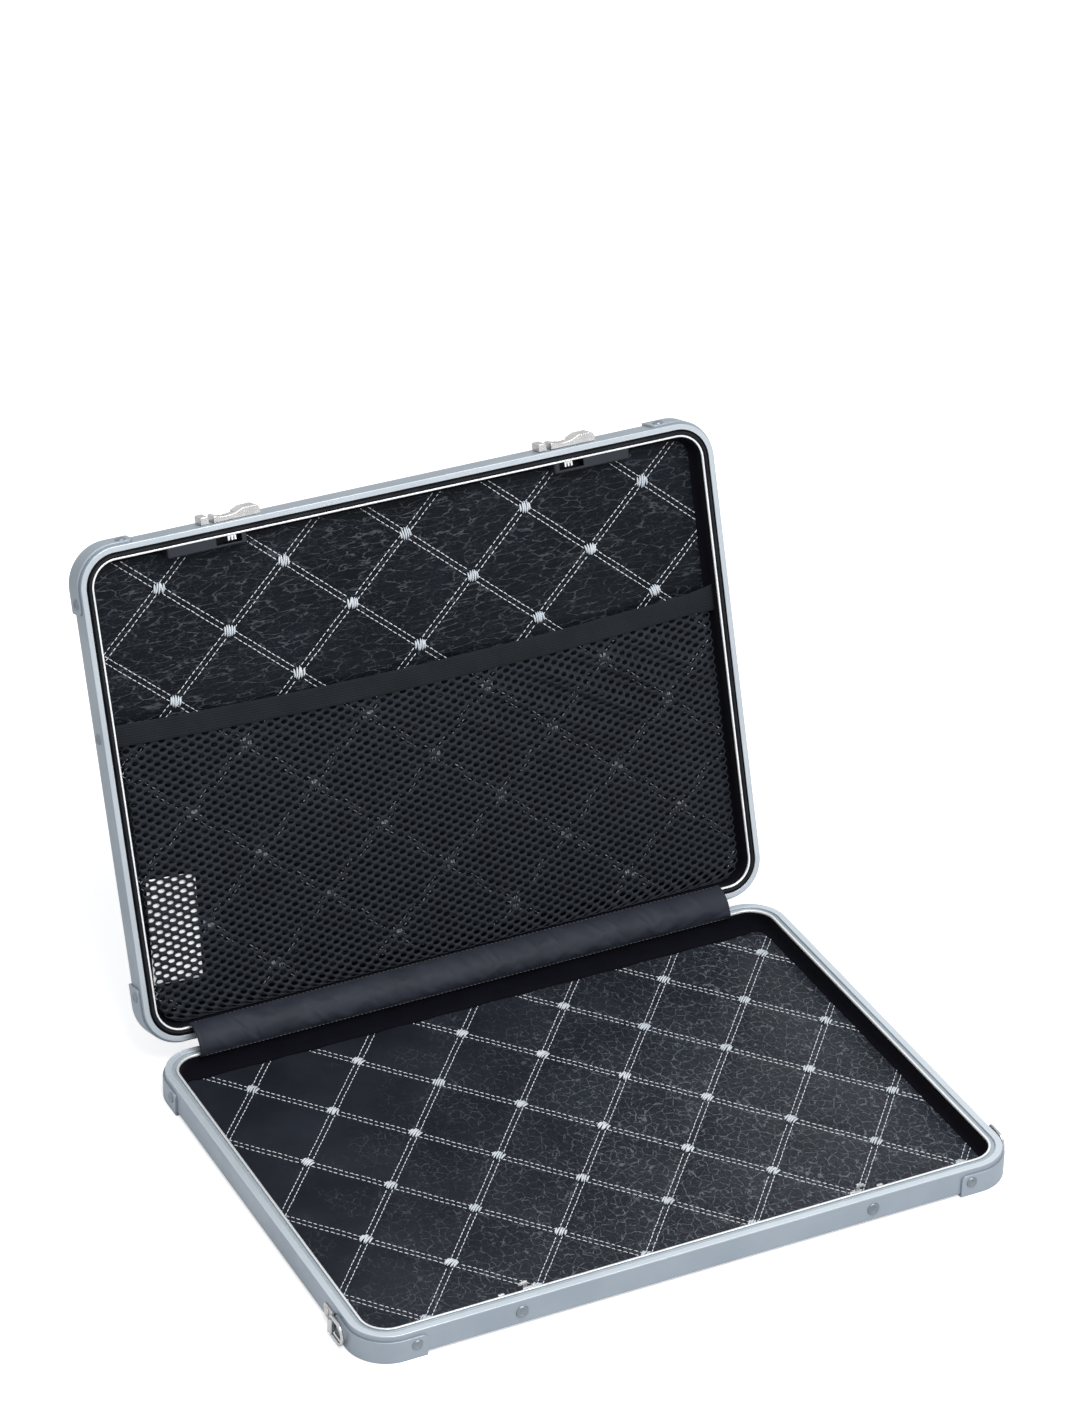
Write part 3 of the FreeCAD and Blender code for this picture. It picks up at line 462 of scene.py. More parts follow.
def clothMaterial(name, colour, lighter, roughness, warp, weft, depth, sheen, specular=0.5, own=True):
    # cloth: threads lighter than the gaps between them, the gaps' darkness a painted shade, laid out in the piece's own
    # flat places where it has them
    tree, shader = newMaterial(name, colour, roughness, 0.0, specular)
    shader.inputs["Sheen Weight"].default_value = sheen
    shader.inputs["Sheen Roughness"].default_value = 0.45
    ownPlace = addNode(tree, "ShaderNodeAttribute", attribute_name="flatPlace").outputs["Vector"] if own else None
    flat = ownPlace or objectPlace(tree)
    group = groupNode(tree, threadWeave, flat, Warp_Threads=warp, Weft_Threads=weft)
    # the gaps between threads take the darker colour: painted shade
    tone = mathNode(tree, "ADD", times(tree, group["Height"], 0.65), times(tree, group["Tone"], 0.35))
    feed(tree, shader.inputs["Base Color"], mixColour(tree, tone, colour, lighter))
    addBump(tree, shader, group["Height"], depth)


def hideMaterial(name, colour, crease, cells, warp, stretch, lean, level, gloss):
    # quilted leatherette: near-black hide, raised creases duller, and paler as a painted highlight that grows along
    # Lean, pores in the same bump
    tree, shader = newMaterial(name, colour, 0.42, 0.0, gloss)
    place = objectPlace(tree)
    drawn = addNode(tree, "ShaderNodeMapping", {"Vector": place, "Scale": stretch}).outputs["Vector"]
    group = groupNode(tree, crackedHide, drawn, Place=place, Cells=cells, Warp=warp, Lean=lean, Level=level)
    pores = groupNode(tree, fineGrain, place, Grain=1400.0, Mottle=18.0)
    field = mixColour(tree, pores["Tone"], tuple(0.8 * c for c in colour), tuple(1.3 * c for c in colour))
    flecked = mixColour(tree, times(tree, group["Speckle"], 0.20), field, crease)
    feed(tree, shader.inputs["Base Color"], mixColour(tree, group["Creases"], flecked, crease))
    feed(tree, shader.inputs["Roughness"], rangeNode(tree, group["Creases"], 0.0, 1.0, 0.38, 0.60))
    addBump(tree, shader, mathNode(tree, "ADD", group["Creases"], times(tree, pores["Height"], 0.3)), 0.00022)


# colour, darker tone, roughness and its spread, metallic, grain per metre, bump depth, mottle per metre, specular
grained = {
    "satinFrame": ((0.315, 0.365, 0.415), (0.285, 0.335, 0.385), 0.42, 0.04, 0.45, 2600.0, 0.00001),
    "milledRim": ((0.585, 0.645, 0.70), (0.545, 0.605, 0.66), 0.34, 0.05, 0.35, 3200.0, 0.000008),
    # the lid's milled rim in a darker copy of the base's: painted shade
    "lidRim": ((0.48, 0.53, 0.575), (0.445, 0.495, 0.54), 0.34, 0.05, 0.35, 3200.0, 0.000008),
    # the lip's top: the rim's metal, polished, its lighter colour a painted highlight
    "brightLip": ((0.86, 0.88, 0.90), (0.80, 0.82, 0.85), 0.24, 0.05, 0.40, 3600.0, 0.000005, 60.0),
    "satinSheet": ((0.40, 0.46, 0.51), (0.385, 0.445, 0.495), 0.40, 0.02, 0.6, 1800.0, 0.00002, 12.0),
    "rivetSteel": ((0.235, 0.265, 0.295), (0.19, 0.22, 0.25), 0.34, 0.05, 0.7, 3000.0, 0.00001, 80.0),
    # the base groove painted lighter than the frame to offset the shade that falls in it: painted light
    "shadedGroove": ((0.41, 0.46, 0.50), (0.37, 0.42, 0.46), 0.5, 0.05, 0.3, 2600.0, 0.00001),
    # the lid groove painted near-black: painted shade in the recess
    "darkGroove": ((0.020, 0.022, 0.027), (0.015, 0.017, 0.021), 0.6, 0.05, 0.0, 2600.0, 0.00001, 25.0, 0.08),
    "satinNickel": ((0.56, 0.56, 0.56), (0.50, 0.50, 0.50), 0.24, 0.04, 0.95, 3000.0, 0.00001, 90.0),
    "brightSteel": ((0.80, 0.81, 0.82), (0.70, 0.71, 0.73), 0.16, 0.05, 1.0, 3500.0, 0.000005, 120.0),
    "mouldedPlastic": ((0.018, 0.022, 0.030), (0.013, 0.016, 0.022), 0.45, 0.05, 0.0, 2200.0, 0.00004, 40.0, 0.3),
    "sealRubber": ((0.016, 0.018, 0.022), (0.010, 0.011, 0.014), 0.55, 0.06, 0.0, 1500.0, 0.00004, 60.0, 0.08),
}
# colour, crease colour (a painted highlight), cells per metre, their warp, stretch, the direction in which the painted
# crease highlight grows, its level, specular
hides = {
    "baseHide": ((0.0130, 0.0155, 0.0215), (0.122, 0.136, 0.159), 178.0, 0.0034,
                 (1.0, 0.86, 1.0), (3.8, -3.4, 0.0), 0.44, 0.12),
    "lidHide": ((0.0045, 0.0062, 0.0090), (0.066, 0.075, 0.089), 240.0, 0.0045,
                (0.30, 1.0, 1.0), (-0.8, 0.0, 1.6), 0.38, 0.07),
}
# gap colour (painted shade between threads), thread colour, roughness, threads per metre both ways, bump depth, sheen,
# specular, own flat places
cloths = {
    "whiteThread": ((0.68, 0.72, 0.77), (0.86, 0.89, 0.93), 0.6, 3000.0, 3000.0, 0.00003, 0.0, 0.5, False),
    "hemThread": ((0.050, 0.056, 0.066), (0.12, 0.13, 0.15), 0.6, 3000.0, 3000.0, 0.00003, 0.0, 0.5, False),
    "tuftThread": ((0.42, 0.47, 0.53), (0.80, 0.84, 0.88), 0.45, 2500.0, 2500.0, 0.00003, 0.0, 0.5, False),
    "velvetPile": ((0.0020, 0.0020, 0.0042), (0.0048, 0.0048, 0.0090), 0.95, 1500.0, 1500.0, 0.00010, 0.03, 0.06),
    "satinNylon": ((0.0155, 0.0185, 0.0265), (0.0290, 0.0345, 0.0495), 0.54, 2200.0, 1600.0, 0.00004, 0.03, 0.16),
    "ribbedElastic": ((0.0030, 0.0045, 0.0065), (0.0085, 0.0120, 0.0165), 0.7, 900.0, 0.0, 0.00008, 0.04, 0.2),
    "knittedNet": ((0.0040, 0.0060, 0.0100), (0.0132, 0.0185, 0.0290), 0.65, 1400.0, 1800.0, 0.00006, 0.06, 0.25),
    "labelCloth": ((0.93, 0.93, 0.94), (0.98, 0.98, 0.98), 0.7, 1800.0, 1800.0, 0.00003, 0.0),
}
for table, build in ((grained, grainedMaterial), (hides, hideMaterial), (cloths, clothMaterial)):
    for name, row in table.items():
        build(name, *row)
print("materials made")

# camera

cameraFit = {"focalPixels": 4868.465, "longSidePixels": 1424.0, "azimuth": -26.65, "elevation": 30.744, "roll": 0.878,
             "shiftRight": -28.127, "shiftUp": 175.064, "distance": 2622.792, "targetHeight": 60.0}


def placeCamera():
    # back, right and up vectors from the two angles, rolled, then the eye set off from the target
    az, el, roll = (math.radians(cameraFit[k]) for k in ("azimuth", "elevation", "roll"))
    back = np.array([math.sin(az) * math.cos(el), -math.cos(az) * math.cos(el), math.sin(el)])
    right = np.array([math.cos(az), math.sin(az), 0.0])
    up = np.cross(back, right)
    eye = np.array([0, 0, cameraFit["targetHeight"]]) + back * cameraFit["distance"]
    eye = eye + right * cameraFit["shiftRight"] + up * cameraFit["shiftUp"]
    eye = (eye + np.array([0, -middleY, case["foot"]])) / 1000.0
    rolledRight = right * math.cos(roll) + up * math.sin(roll)
    rolledUp = up * math.cos(roll) - right * math.sin(roll)
    data = bpy.data.cameras.new("photoCamera")
    data.sensor_width = 36.0
    data.lens = cameraFit["focalPixels"] * data.sensor_width / cameraFit["longSidePixels"]
    axes = (rolledRight, rolledUp, back)
    bpy.context.scene.camera = placeTurned("photoCamera", data, eye.tolist(), axes)


placeCamera()

# frames, seal and velvet: profiles carried round the wall

section = {"wall": 1.3, "inner": 0.6, "lipWide": 5.0, "lipThick": 0.7, "lipLow": 13.8, "floorThick": 0.8,
           "base": (4.1, 6.5, 7.9, 1.3), "lid": (3.4, 6.5, 7.7, 2.4)}


def frameProfile(half):
    # across is the inset from the outer face, up is the height in the half
    flange, groove, lip, deep = section[half]
    top, wall, inner = case["half"], section["wall"], groove + section["inner"]
    floorTop = top - deep
    floorLow = floorTop - section["floorThick"]
    return roundedProfile([
        (0, 0, 1.3), (section["lipWide"], 0, 0.25), (section["lipWide"], section["lipThick"], 0.2),
        (wall, section["lipThick"], 0),
        (wall, floorLow, 0), (groove, floorLow, 0), (groove, 2.6, 0), (inner, 2.6, 0.15),
        (inner, section["lipLow"], 0), (lip, section["lipLow"], 0.35), (lip, top, 0.5), (groove, top, 0.3),
        (groove, floorTop, 0.25), (flange, floorTop, 0.25), (flange, top, 0.3), (0, top, 0.7)])


def closedRing(profile):
    points = sweepWall(profile)
    return points, gridQuads(points.shape[0], points.shape[1], True, True)


# per half: the rim's milled faces (a darker painted-shade copy on the lid), the lip's painted highlight, then the
# groove's painted light on the base and painted shade on the lid
railFinishAndPaintedLight = {"base": ("milledRim", "brightLip", "shadedGroove"), "lid": ("lidRim", "brightLip", "darkGroove")}

for half in ("base", "lid"):
    profile = frameProfile(half)
    rail = closedRing(profile)
    piece = addPiece(half + "FrameRail", rail, half, "satinFrame", half, half + "_frame", weighted=True)
    flange, groove, _, deep = section[half]
    # the rim's upper faces are milled lighter, on the lid in a darker copy that is painted shade; the lip's top is
    # polished and lighter still as a painted highlight; the groove is painted lighter on the base to offset its shade
    # and near-black on the lid as painted shade
    for extra in railFinishAndPaintedLight[half]:
        piece.data.materials.append(bpy.data.materials[extra])
    middleIn, middleUp = ((profile + np.roll(profile, -1, 0)) / 2).T
    topSide = (middleUp > case["half"] - deep - 0.1) & (middleIn > 0.45)
    inGroove = (middleIn > flange - 0.05) & (middleIn < groove + 0.05) & (middleUp < case["half"] - 0.3)
    kind = np.where(inGroove, 3, np.where(topSide & (middleIn > groove + 0.02), 2, np.where(topSide, 1, 0)))
    piece.data.polygons.foreach_set("material_index", np.tile(kind, len(rail[0])).astype(np.int32))

seal = {"middle": 5.3, "halfWide": 0.8, "top": 16.0, "low": 12.9}
left, right = seal["middle"] - seal["halfWide"], seal["middle"] + seal["halfWide"]
rootLeft, rootRight, low = seal["middle"] - 1.5, seal["middle"] + 1.1, seal["low"]
sealShape = roundedProfile([(rootLeft, low, 0), (rootRight, low, 0), (rootRight, low + 0.5, 0), (right, low + 0.8, 0),
                            (right, seal["top"], 0.7), (left, seal["top"], 0.7), (left, low + 0.8, 0),
                            (rootLeft, low + 0.5, 0)])
addPiece("lidSealBead", closedRing(sealShape), "lid", "sealRubber", "lid", "lid_seal", weighted=True)

velvet = {"gap": 0.05, "thick": 0.55, "high": 13.75, "coveTop": 10.2, "coveLow": 4.95, "under": 4.2, "cove": 3.4,
          "backCove": 5.2, "ripple": 0.30}


def velvetLining(half):
    # a pile-covered strip on the inner wall that turns in over the pad in a soft cove, wider along the hinge side
    wallFace = section[half][1] + section["inner"] + velvet["gap"]
    plan, normals = wallPath(14, 6.0)
    run = lengthAlong(plan)
    turn = np.linspace(0, np.pi / 2, 9)[1:]
    high, top, under = velvet["high"], velvet["coveTop"], velvet["under"]
    levels = np.concatenate([np.linspace(high, top, 4), top - (top - velvet["coveLow"]) * np.sin(turn)])
    inward = np.concatenate([np.zeros(4), 1 - np.cos(turn)])
    deep = velvet["cove"] + velvet["backCove"] * np.clip(normals[:, 1], 0, 1) ** 3
    ripple = velvet["ripple"] * softNoise(run[:, None] + 0 * levels, levels + 0 * run[:, None], 7.0, 5)
    across = wallFace + velvet["thick"] + deep[:, None] * inward + ripple
    across = np.concatenate([across, across[:, -1:], np.full((len(run), 2), wallFace)], 1)
    up = np.broadcast_to(np.concatenate([levels, [under, under, high]]), across.shape)
    points = np.concatenate([plan[:, None] - across[..., None] * normals[:, None], up[..., None]], -1)
    flat = np.stack([np.broadcast_to(run[:, None], up.shape), across - wallFace + high - up, 0 * up], -1) / 1000
    shape = points, gridQuads(*up.shape, True, True)
    piece = addPiece(half + "VelvetWall", shape, half, "velvetPile", half, half + "_side_lining", flat)


velvetLining("base")
velvetLining("lid")
print("frames, seal and velvet made")

# corner caps and rivet heads

cap = {"proud": 1.2, "top": 12.0, "arm": 35.0, "plate": 7.8, "endRound": 3.0, "seat": 0.05}


def cornerCap(sx, sy):
    # an L section carried round one corner; its wall part is scaled down over the last 3 mm of each arm
    w, d, r = caseW, caseD, caseR
    shape = roundedProfile([(-cap["proud"], -case["foot"], 0.9), (cap["plate"], -case["foot"], 0.4),
                            (cap["plate"], -0.02, 0),
                            (-cap["seat"], -0.02, 0), (-cap["seat"], cap["top"], 0), (-cap["proud"], cap["top"], 0.45)])
    straight = cap["arm"] - r
    ease = cap["endRound"] * (1 - np.cos(np.linspace(0, np.pi / 2, 7)))
    lead = np.concatenate([ease, [straight * 0.6]])
    angle = np.linspace(0, np.pi / 2, 21)
    arc = np.stack([-np.cos(angle), -np.sin(angle)], -1)
    corner = np.array([r - w, r - d])
    sideArm = np.stack([np.full(len(lead), -w), r - d + straight - lead], -1)
    endArm = np.stack([(r - w + straight - lead)[::-1], np.full(len(lead), -d)], -1)
    points = np.concatenate([sideArm, corner + r * arc, endArm])
    normals = np.concatenate([np.tile([-1.0, 0], (len(lead), 1)), arc, np.tile([0, -1.0], (len(lead), 1))])
    fromEnd = np.concatenate([lead, np.full(len(angle), 99.0), lead[::-1]])
    short = np.clip(cap["endRound"] - fromEnd, 0, None)
    topHere = cap["top"] - cap["endRound"] + np.sqrt(np.clip(cap["endRound"] ** 2 - short ** 2, 0, None))
    grid = sweepWall(shape, (points, normals))
    grid[..., 2] = np.where(grid[..., 2] > 0, grid[..., 2] * (topHere / cap["top"])[:, None], grid[..., 2])
    grid[..., 0] *= -sx
    grid[..., 1] *= -sy
    return closedSweep(grid)


for half in ("base", "lid"):
    for sx, sideName in ((-1, "left"), (1, "right")):
        for sy, endName in ((-1, "front"), (1, "back")):
            name = half + "Corner" + endName.capitalize() + sideName.capitalize()
            node = half + "_corner_cap_" + endName + "_" + sideName
            addPiece(name, cornerCap(sx, sy), half, "satinFrame", half, node, weighted=True)

dome = {"high": 0.8, "sides": 28, "across": [0.0, 0.20, 0.42, 0.58, 0.66, 0.74, 0.82, 0.90, 0.96, 0.98, 1.0],
        "up": [0.22, 0.24, 0.36, 0.66, 0.92, 1.0, 0.98, 0.80, 0.45, 0.1, 0.0]}


def rivetHeads(name, node, half, seats, diameter, material):
    # a low dome with a pressed dimple, spun about each seat's outward direction
    across, up = np.array(dome["across"]) * diameter / 2, np.array(dome["up"]) * dome["high"]
    sides, rows = dome["sides"], len(across) - 1
    turn = np.arange(sides) / sides * 2 * np.pi
    parts = []
    for place, (ox, oy) in seats:
        outward, side, top = np.array([ox, oy, 0.0]), np.array([-oy, ox, 0.0]), np.array([0, 0, 1.0])
        ring = side * np.cos(turn)[:, None] + top * np.sin(turn)[:, None]
        grid = np.array(place) + ring[None] * across[1:, None, None] + outward * up[1:, None, None]
        points = np.concatenate([grid.reshape(-1, 3), [np.array(place) + outward * up[0]]])
        faces = gridQuads(rows, sides, wrapCols=True).tolist()
        faces += [[rows * sides, (k + 1) % sides, k] for k in range(sides)]
        faces.append([(rows - 1) * sides + k for k in range(sides)])
        parts.append((points, faces))
    addPiece(name, joinParts(parts), half, material, half, node)


rivets = {"inset": 29.0, "capHigh": 7.2, "capWide": 6.2, "seat": 0.9, "keeper": (103.6, 7.7, 7.4), "band": (-36.0, 7.0),
          "clip": (-95.9, 6.0, 5.0), "hinge": (105.0, 15.0, 8.2, 5.0)}
ways = (-1, 1)
for half in ("base", "lid"):
    near, high = rivets["inset"], rivets["capHigh"]
    seats = []
    for sx in ways:
        for sy in ways:
            seats.append(((sx * (caseW + cap["proud"]), sy * (caseD - near), high), (sx, 0)))
            seats.append(((sx * (caseW - near), sy * (caseD + cap["proud"]), high), (0, sy)))
    rivetHeads(half + "CornerRivets", half + "_corner_rivets", half, seats, rivets["capWide"], "rivetSteel")
    place, offset, high, across = rivets["hinge"]
    seats = [((sx * place + st * offset, caseD + rivets["seat"], high), (0, 1)) for sx in ways for st in ways]
    rivetHeads(half + "HingeRivets", half + "_hinge_rivets", half, seats, across, "satinNickel")
place, high, across = rivets["keeper"]
seats = [((s * place, -caseD, high), (0, -1)) for s in ways]
rivetHeads("keeperRivets", "keeper_rivets", "base", seats, across, "rivetSteel")
place, high = rivets["band"]
seats = [((s * caseW, place, high), (s, 0)) for s in ways]
rivetHeads("bandRivets", "band_rivets", "lid", seats, rivets["capWide"], "rivetSteel")
place, high, across = rivets["clip"]
seats = [((s * (caseW + rivets["seat"]), place, high), (s, 0)) for s in ways]
rivetHeads("clipRivets", "ring_clip_rivets", "base", seats, across, "satinNickel")
print("caps and rivets made")

# quilted linings, their stitching and embroidered tufts

quilts = {
    "base": {"inset": 8.0, "pitch": 63.7, "row": 37.6, "start": (-148.8, 103.6), "tuftAlong": 38.0,
             "wrinkle": 0.10, "seed": 11},
    "lid": {"inset": 7.8, "pitch": 73.8, "row": 32.04, "start": (-144.7, -110.55), "tuftAlong": 90.0,
            "wrinkle": 0.16, "seed": 23},
}
padding = {"seam": 3.80, "low": 2.52, "spread": 3.0, "rowOffset": 1.5, "cap": 1.45, "edge": 2.2, "held": 1.6,
           "pressure": 1.2,
           "grid": 3.0}
puffs = {}


def seamDistances(x, y, quilt):
    # signed distance to the nearest seam of each diagonal, both through the tufts
    half, row = quilt["pitch"] / 2, quilt["row"]
    long = math.hypot(half, row)
    spacing = quilt["pitch"] * row / long
    out = []
    for way in (1, -1):
        across = ((x - quilt["start"][0]) * row - way * (y - quilt["start"][1]) * half) / long
        out.append((across + spacing / 2) % spacing - spacing / 2)
    return out, spacing


def insetOf(x, y):
    # distance in from the outer wall of the rounded plan
    w, d, r = caseW, caseD, caseR
    qx, qy = np.abs(x) - (w - r), np.abs(y) - (d - r)
    return r - np.hypot(np.clip(qx, 0, None), np.clip(qy, 0, None)) - np.minimum(np.maximum(qx, qy), 0)


def settlePad(quilt):
    # the pad's skin as a cloth held along its seams and border and blown up from below; no point rises past the cap
    w, d = caseW - quilt["inset"], caseD - quilt["inset"]
    xs = np.linspace(-w, w, int(2 * w / padding["grid"]) + 1)
    ys = np.linspace(-d, d, int(2 * d / padding["grid"]) + 1)
    y, x = np.meshgrid(ys, xs, indexing="ij")
    (first, second), spacing = seamDistances(x, y, quilt)
    pinned = (np.minimum(np.abs(first), np.abs(second)) < padding["held"]) | (insetOf(x, y) < quilt["inset"] + 1.5)
    start = np.stack([x, y, 0.05 * softNoise(x, y, 8.0, quilt["seed"])], -1).reshape(-1, 3)
    settled = settleCloth(start, gridQuads(*x.shape), pinned.ravel(), padding["pressure"], -0.002)
    rise = settled[:, 2].reshape(x.shape)
    print("settled pad rises", np.percentile(rise, [5, 50, 95, 100]).round(2))
    # a soft cap: cap * tanh(rise / cap)
    return xs, ys, padding["cap"] * np.tanh(np.clip(rise, 0, None) / padding["cap"])


def gridValue(x, y, xs, ys, grid):
    # bilinear reading of a regular grid
    u = np.clip((x - xs[0]) / (xs[1] - xs[0]), 0, len(xs) - 1.001)
    v = np.clip((y - ys[0]) / (ys[1] - ys[0]), 0, len(ys) - 1.001)
    i, j = np.floor(u).astype(int), np.floor(v).astype(int)
    s, t = u - i, v - j
    near, far = grid[j, i] * (1 - s) + grid[j, i + 1] * s, grid[j + 1, i] * (1 - s) + grid[j + 1, i + 1] * s
    return near * (1 - t) + far * t


def padHeight(x, y, quilt):
    # the settled skin over the seams, a low ridge between stitch rows, tug marks beside seams, creases elsewhere
    (first, second), _ = seamDistances(x, y, quilt)
    seed = quilt["seed"]
    high = padding["seam"] + gridValue(x, y, *puffs[seed])
    nearest = np.minimum(np.abs(first), np.abs(second))
    rows = np.exp(-((nearest - padding["rowOffset"]) / 0.55) ** 2)
    high = high + 0.22 * np.clip(1 - nearest / padding["rowOffset"], 0, 1) - 0.22 * rows
    beside = np.exp(-np.clip(nearest - padding["rowOffset"], 0, None) / padding["spread"])
    tug = np.sin(1.5 * (first + second) + 9 * softNoise(x, y, 9.0, seed)) * beside
    tug = tug * np.clip(nearest / padding["rowOffset"] - 1, 0, 1)
    crease = np.abs(softNoise(x * 0.55 + 0.3 * y, y, 6.0, seed + 1))
    crease = crease + 0.6 * np.abs(softNoise(x, y * 1.4, 3.2, seed + 2))
    high = high + quilt["wrinkle"] * (0.8 * tug - 1.6 * crease * (1 - beside))
    border = np.clip((insetOf(x, y) - quilt["inset"]) / padding["edge"], 0, 1)
    return high - 0.8 * (1 - np.sqrt(1 - (1 - border) ** 2))


def quiltPad(half):
    # rows of the plan, each as wide as the rounded outline allows there, closed below by one flat face
    quilt = quilts[half]
    step = 1.45
    w, d, r = (size - quilt["inset"] for size in (caseW, caseD, caseR))
    arc = np.linspace(0, np.pi / 2, 15)
    ends = d - r + r * np.sin(arc)
    middle = np.linspace(r - d, d - r, int(2 * (d - r) / step))
    y = np.concatenate([-ends[::-1][:-1], middle, ends[1:]])
    over = np.clip(np.abs(y) - (d - r), 0, r)
    reach = w - r + np.sqrt(np.clip(r ** 2 - over ** 2, 0, None))
    share = np.linspace(-1, 1, int(2 * w / step))
    x = reach[:, None] * share[None]
    y = np.repeat(y[:, None], len(share), 1)
    top = np.stack([x, y, padHeight(x, y, quilt)], -1)
    rows, cols = top.shape[:2]
    faces = gridQuads(rows, cols).tolist()
    rim = rimOf(np.arange(rows * cols).reshape(rows, cols))
    low = top.reshape(-1, 3)[rim].copy()
    low[:, 2] = padding["low"]
    base, count = rows * cols, len(rim)
    faces += [[int(rim[k]), base + k, base + (k + 1) % count, int(rim[(k + 1) % count])] for k in range(count)]
    faces.append([base + k for k in range(count)][::-1])
    shape = np.concatenate([top.reshape(-1, 3), low]), faces
    node = half + "_quilted_lining"
    piece = addPiece(half + "QuiltPad", shape, half, half + "Hide", half, node)


stitch = {"pitch": 3.3, "length": 2.9, "radius": 0.27, "arch": 0.20, "clear": 3.3, "border": 2.6}


def tuftPlaces(quilt, margin=12.5):
    j, i = np.meshgrid(np.arange(-9, 10), np.arange(-9, 10), indexing="ij")
    x = quilt["start"][0] + i * quilt["pitch"] + (j % 2) * quilt["pitch"] / 2
    y = quilt["start"][1] + j * quilt["row"]
    keep = insetOf(x, y) > margin
    return x[keep], y[keep]


def seamStitches(half):
    # both diagonals, two rows each: stitches at even steps along every seam, none under a tuft or past the border
    quilt = quilts[half]
    halfPitch, row = quilt["pitch"] / 2, quilt["row"]
    long = math.hypot(halfPitch, row)
    rng = np.random.default_rng(quilt["seed"])
    centres, directions = [], []
    for way in (1, -1):
        along = np.array([halfPitch, way * row]) / long
        across = np.array([-along[1], along[0]])
        steps = np.arange(-160, 161) * stitch["pitch"]
        for k in range(-14, 15):
            for side in (-1, 1):
                origin = np.array(quilt["start"]) + np.array([k * quilt["pitch"], 0])
                origin = origin + across * side * padding["rowOffset"]
                shift = stitch["pitch"] * (0.5 if side > 0 else 0.0)
                places = origin + along * (steps + shift)[:, None] + rng.normal(0, 0.06, (len(steps), 2))
                centres.append(places)
                directions.append(np.tile(along, (len(places), 1)))
    centres, directions = np.concatenate(centres), np.concatenate(directions)
    tuftX, tuftY = tuftPlaces(quilt)
    near = np.hypot(centres[:, :1] - tuftX, centres[:, 1:] - tuftY).min(1)
    keep = (insetOf(centres[:, 0], centres[:, 1]) > quilt["inset"] + stitch["border"]) & (near > stitch["clear"])
    centres, directions = centres[keep], directions[keep]
    high = padHeight(centres[:, 0], centres[:, 1], quilt) + 0.02
    ahead = centres + directions
    rise = padHeight(ahead[:, 0], ahead[:, 1], quilt) + 0.02 - high
    lean = np.concatenate([directions, 0 * rise[:, None]], 1)
    up = np.tile([0, 0, 1.0], (len(centres), 1))
    line = np.concatenate([centres, high[:, None]], 1)
    threads = strands(line, lean, up, stitch["length"], stitch["radius"], stitch["arch"])
    addPiece(half + "SeamStitching", threads, half, "whiteThread", half)
    return len(centres)


tuft = {"radius": 3.7, "strands": 5, "thread": 0.60, "arch": 1.0}


def threadTufts(half):
    # each tuft is a row of thick satin threads whose lengths follow a circle
    quilt = quilts[half]
    x, y = tuftPlaces(quilt)
    rng = np.random.default_rng(quilt["seed"] + 40)
    turn = math.radians(quilt["tuftAlong"]) + rng.normal(0, 0.10, len(x))
    along = np.stack([np.cos(turn), np.sin(turn), 0 * turn], -1)
    side = np.stack([-np.sin(turn), np.cos(turn), 0 * turn], -1)
    high = padHeight(x, y, quilt) + 0.35
    middle = np.stack([x, y, high], -1)
    up = np.tile([0, 0, 1.0], (len(x), 1))
    parts = []
    for k in range(tuft["strands"]):
        share = (k - (tuft["strands"] - 1) / 2) / (tuft["strands"] / 2)
        length = 2 * tuft["radius"] * math.sqrt(1 - 0.8 * share ** 2) + rng.normal(0, 0.3, len(x))
        centres = middle + side * (share * tuft["radius"] * 0.92 + rng.normal(0, 0.08, len(x)))[:, None]
        tilt = rng.normal(0, 0.09, len(x))[:, None]
        heading = along * np.cos(tilt) + side * np.sin(tilt)
        thread = tuft["thread"] + rng.normal(0, 0.04, len(x))
        parts.append(strands(centres, heading, up, length, thread, tuft["arch"] * (1 - 0.5 * share ** 2), 7, 8))
    addPiece(half + "ThreadTufts", joinParts(parts), half, "tuftThread", half, half + "_tufts")
    return len(x)


for half in ("base", "lid"):
    puffs[quilts[half]["seed"]] = settlePad(quilts[half])
    quiltPad(half)
    print(half, "lining:", seamStitches(half), "stitches,", threadTufts(half), "tufts")

# elastic band, net pocket and blank label

band = {"half": 184.6, "place": -36.0, "sag": 5.5, "width": 12.0, "high": 9.25, "thick": 1.0, "low": 5.1, "bend": 1.6,
        "ribs": 8, "gather": 1.6}


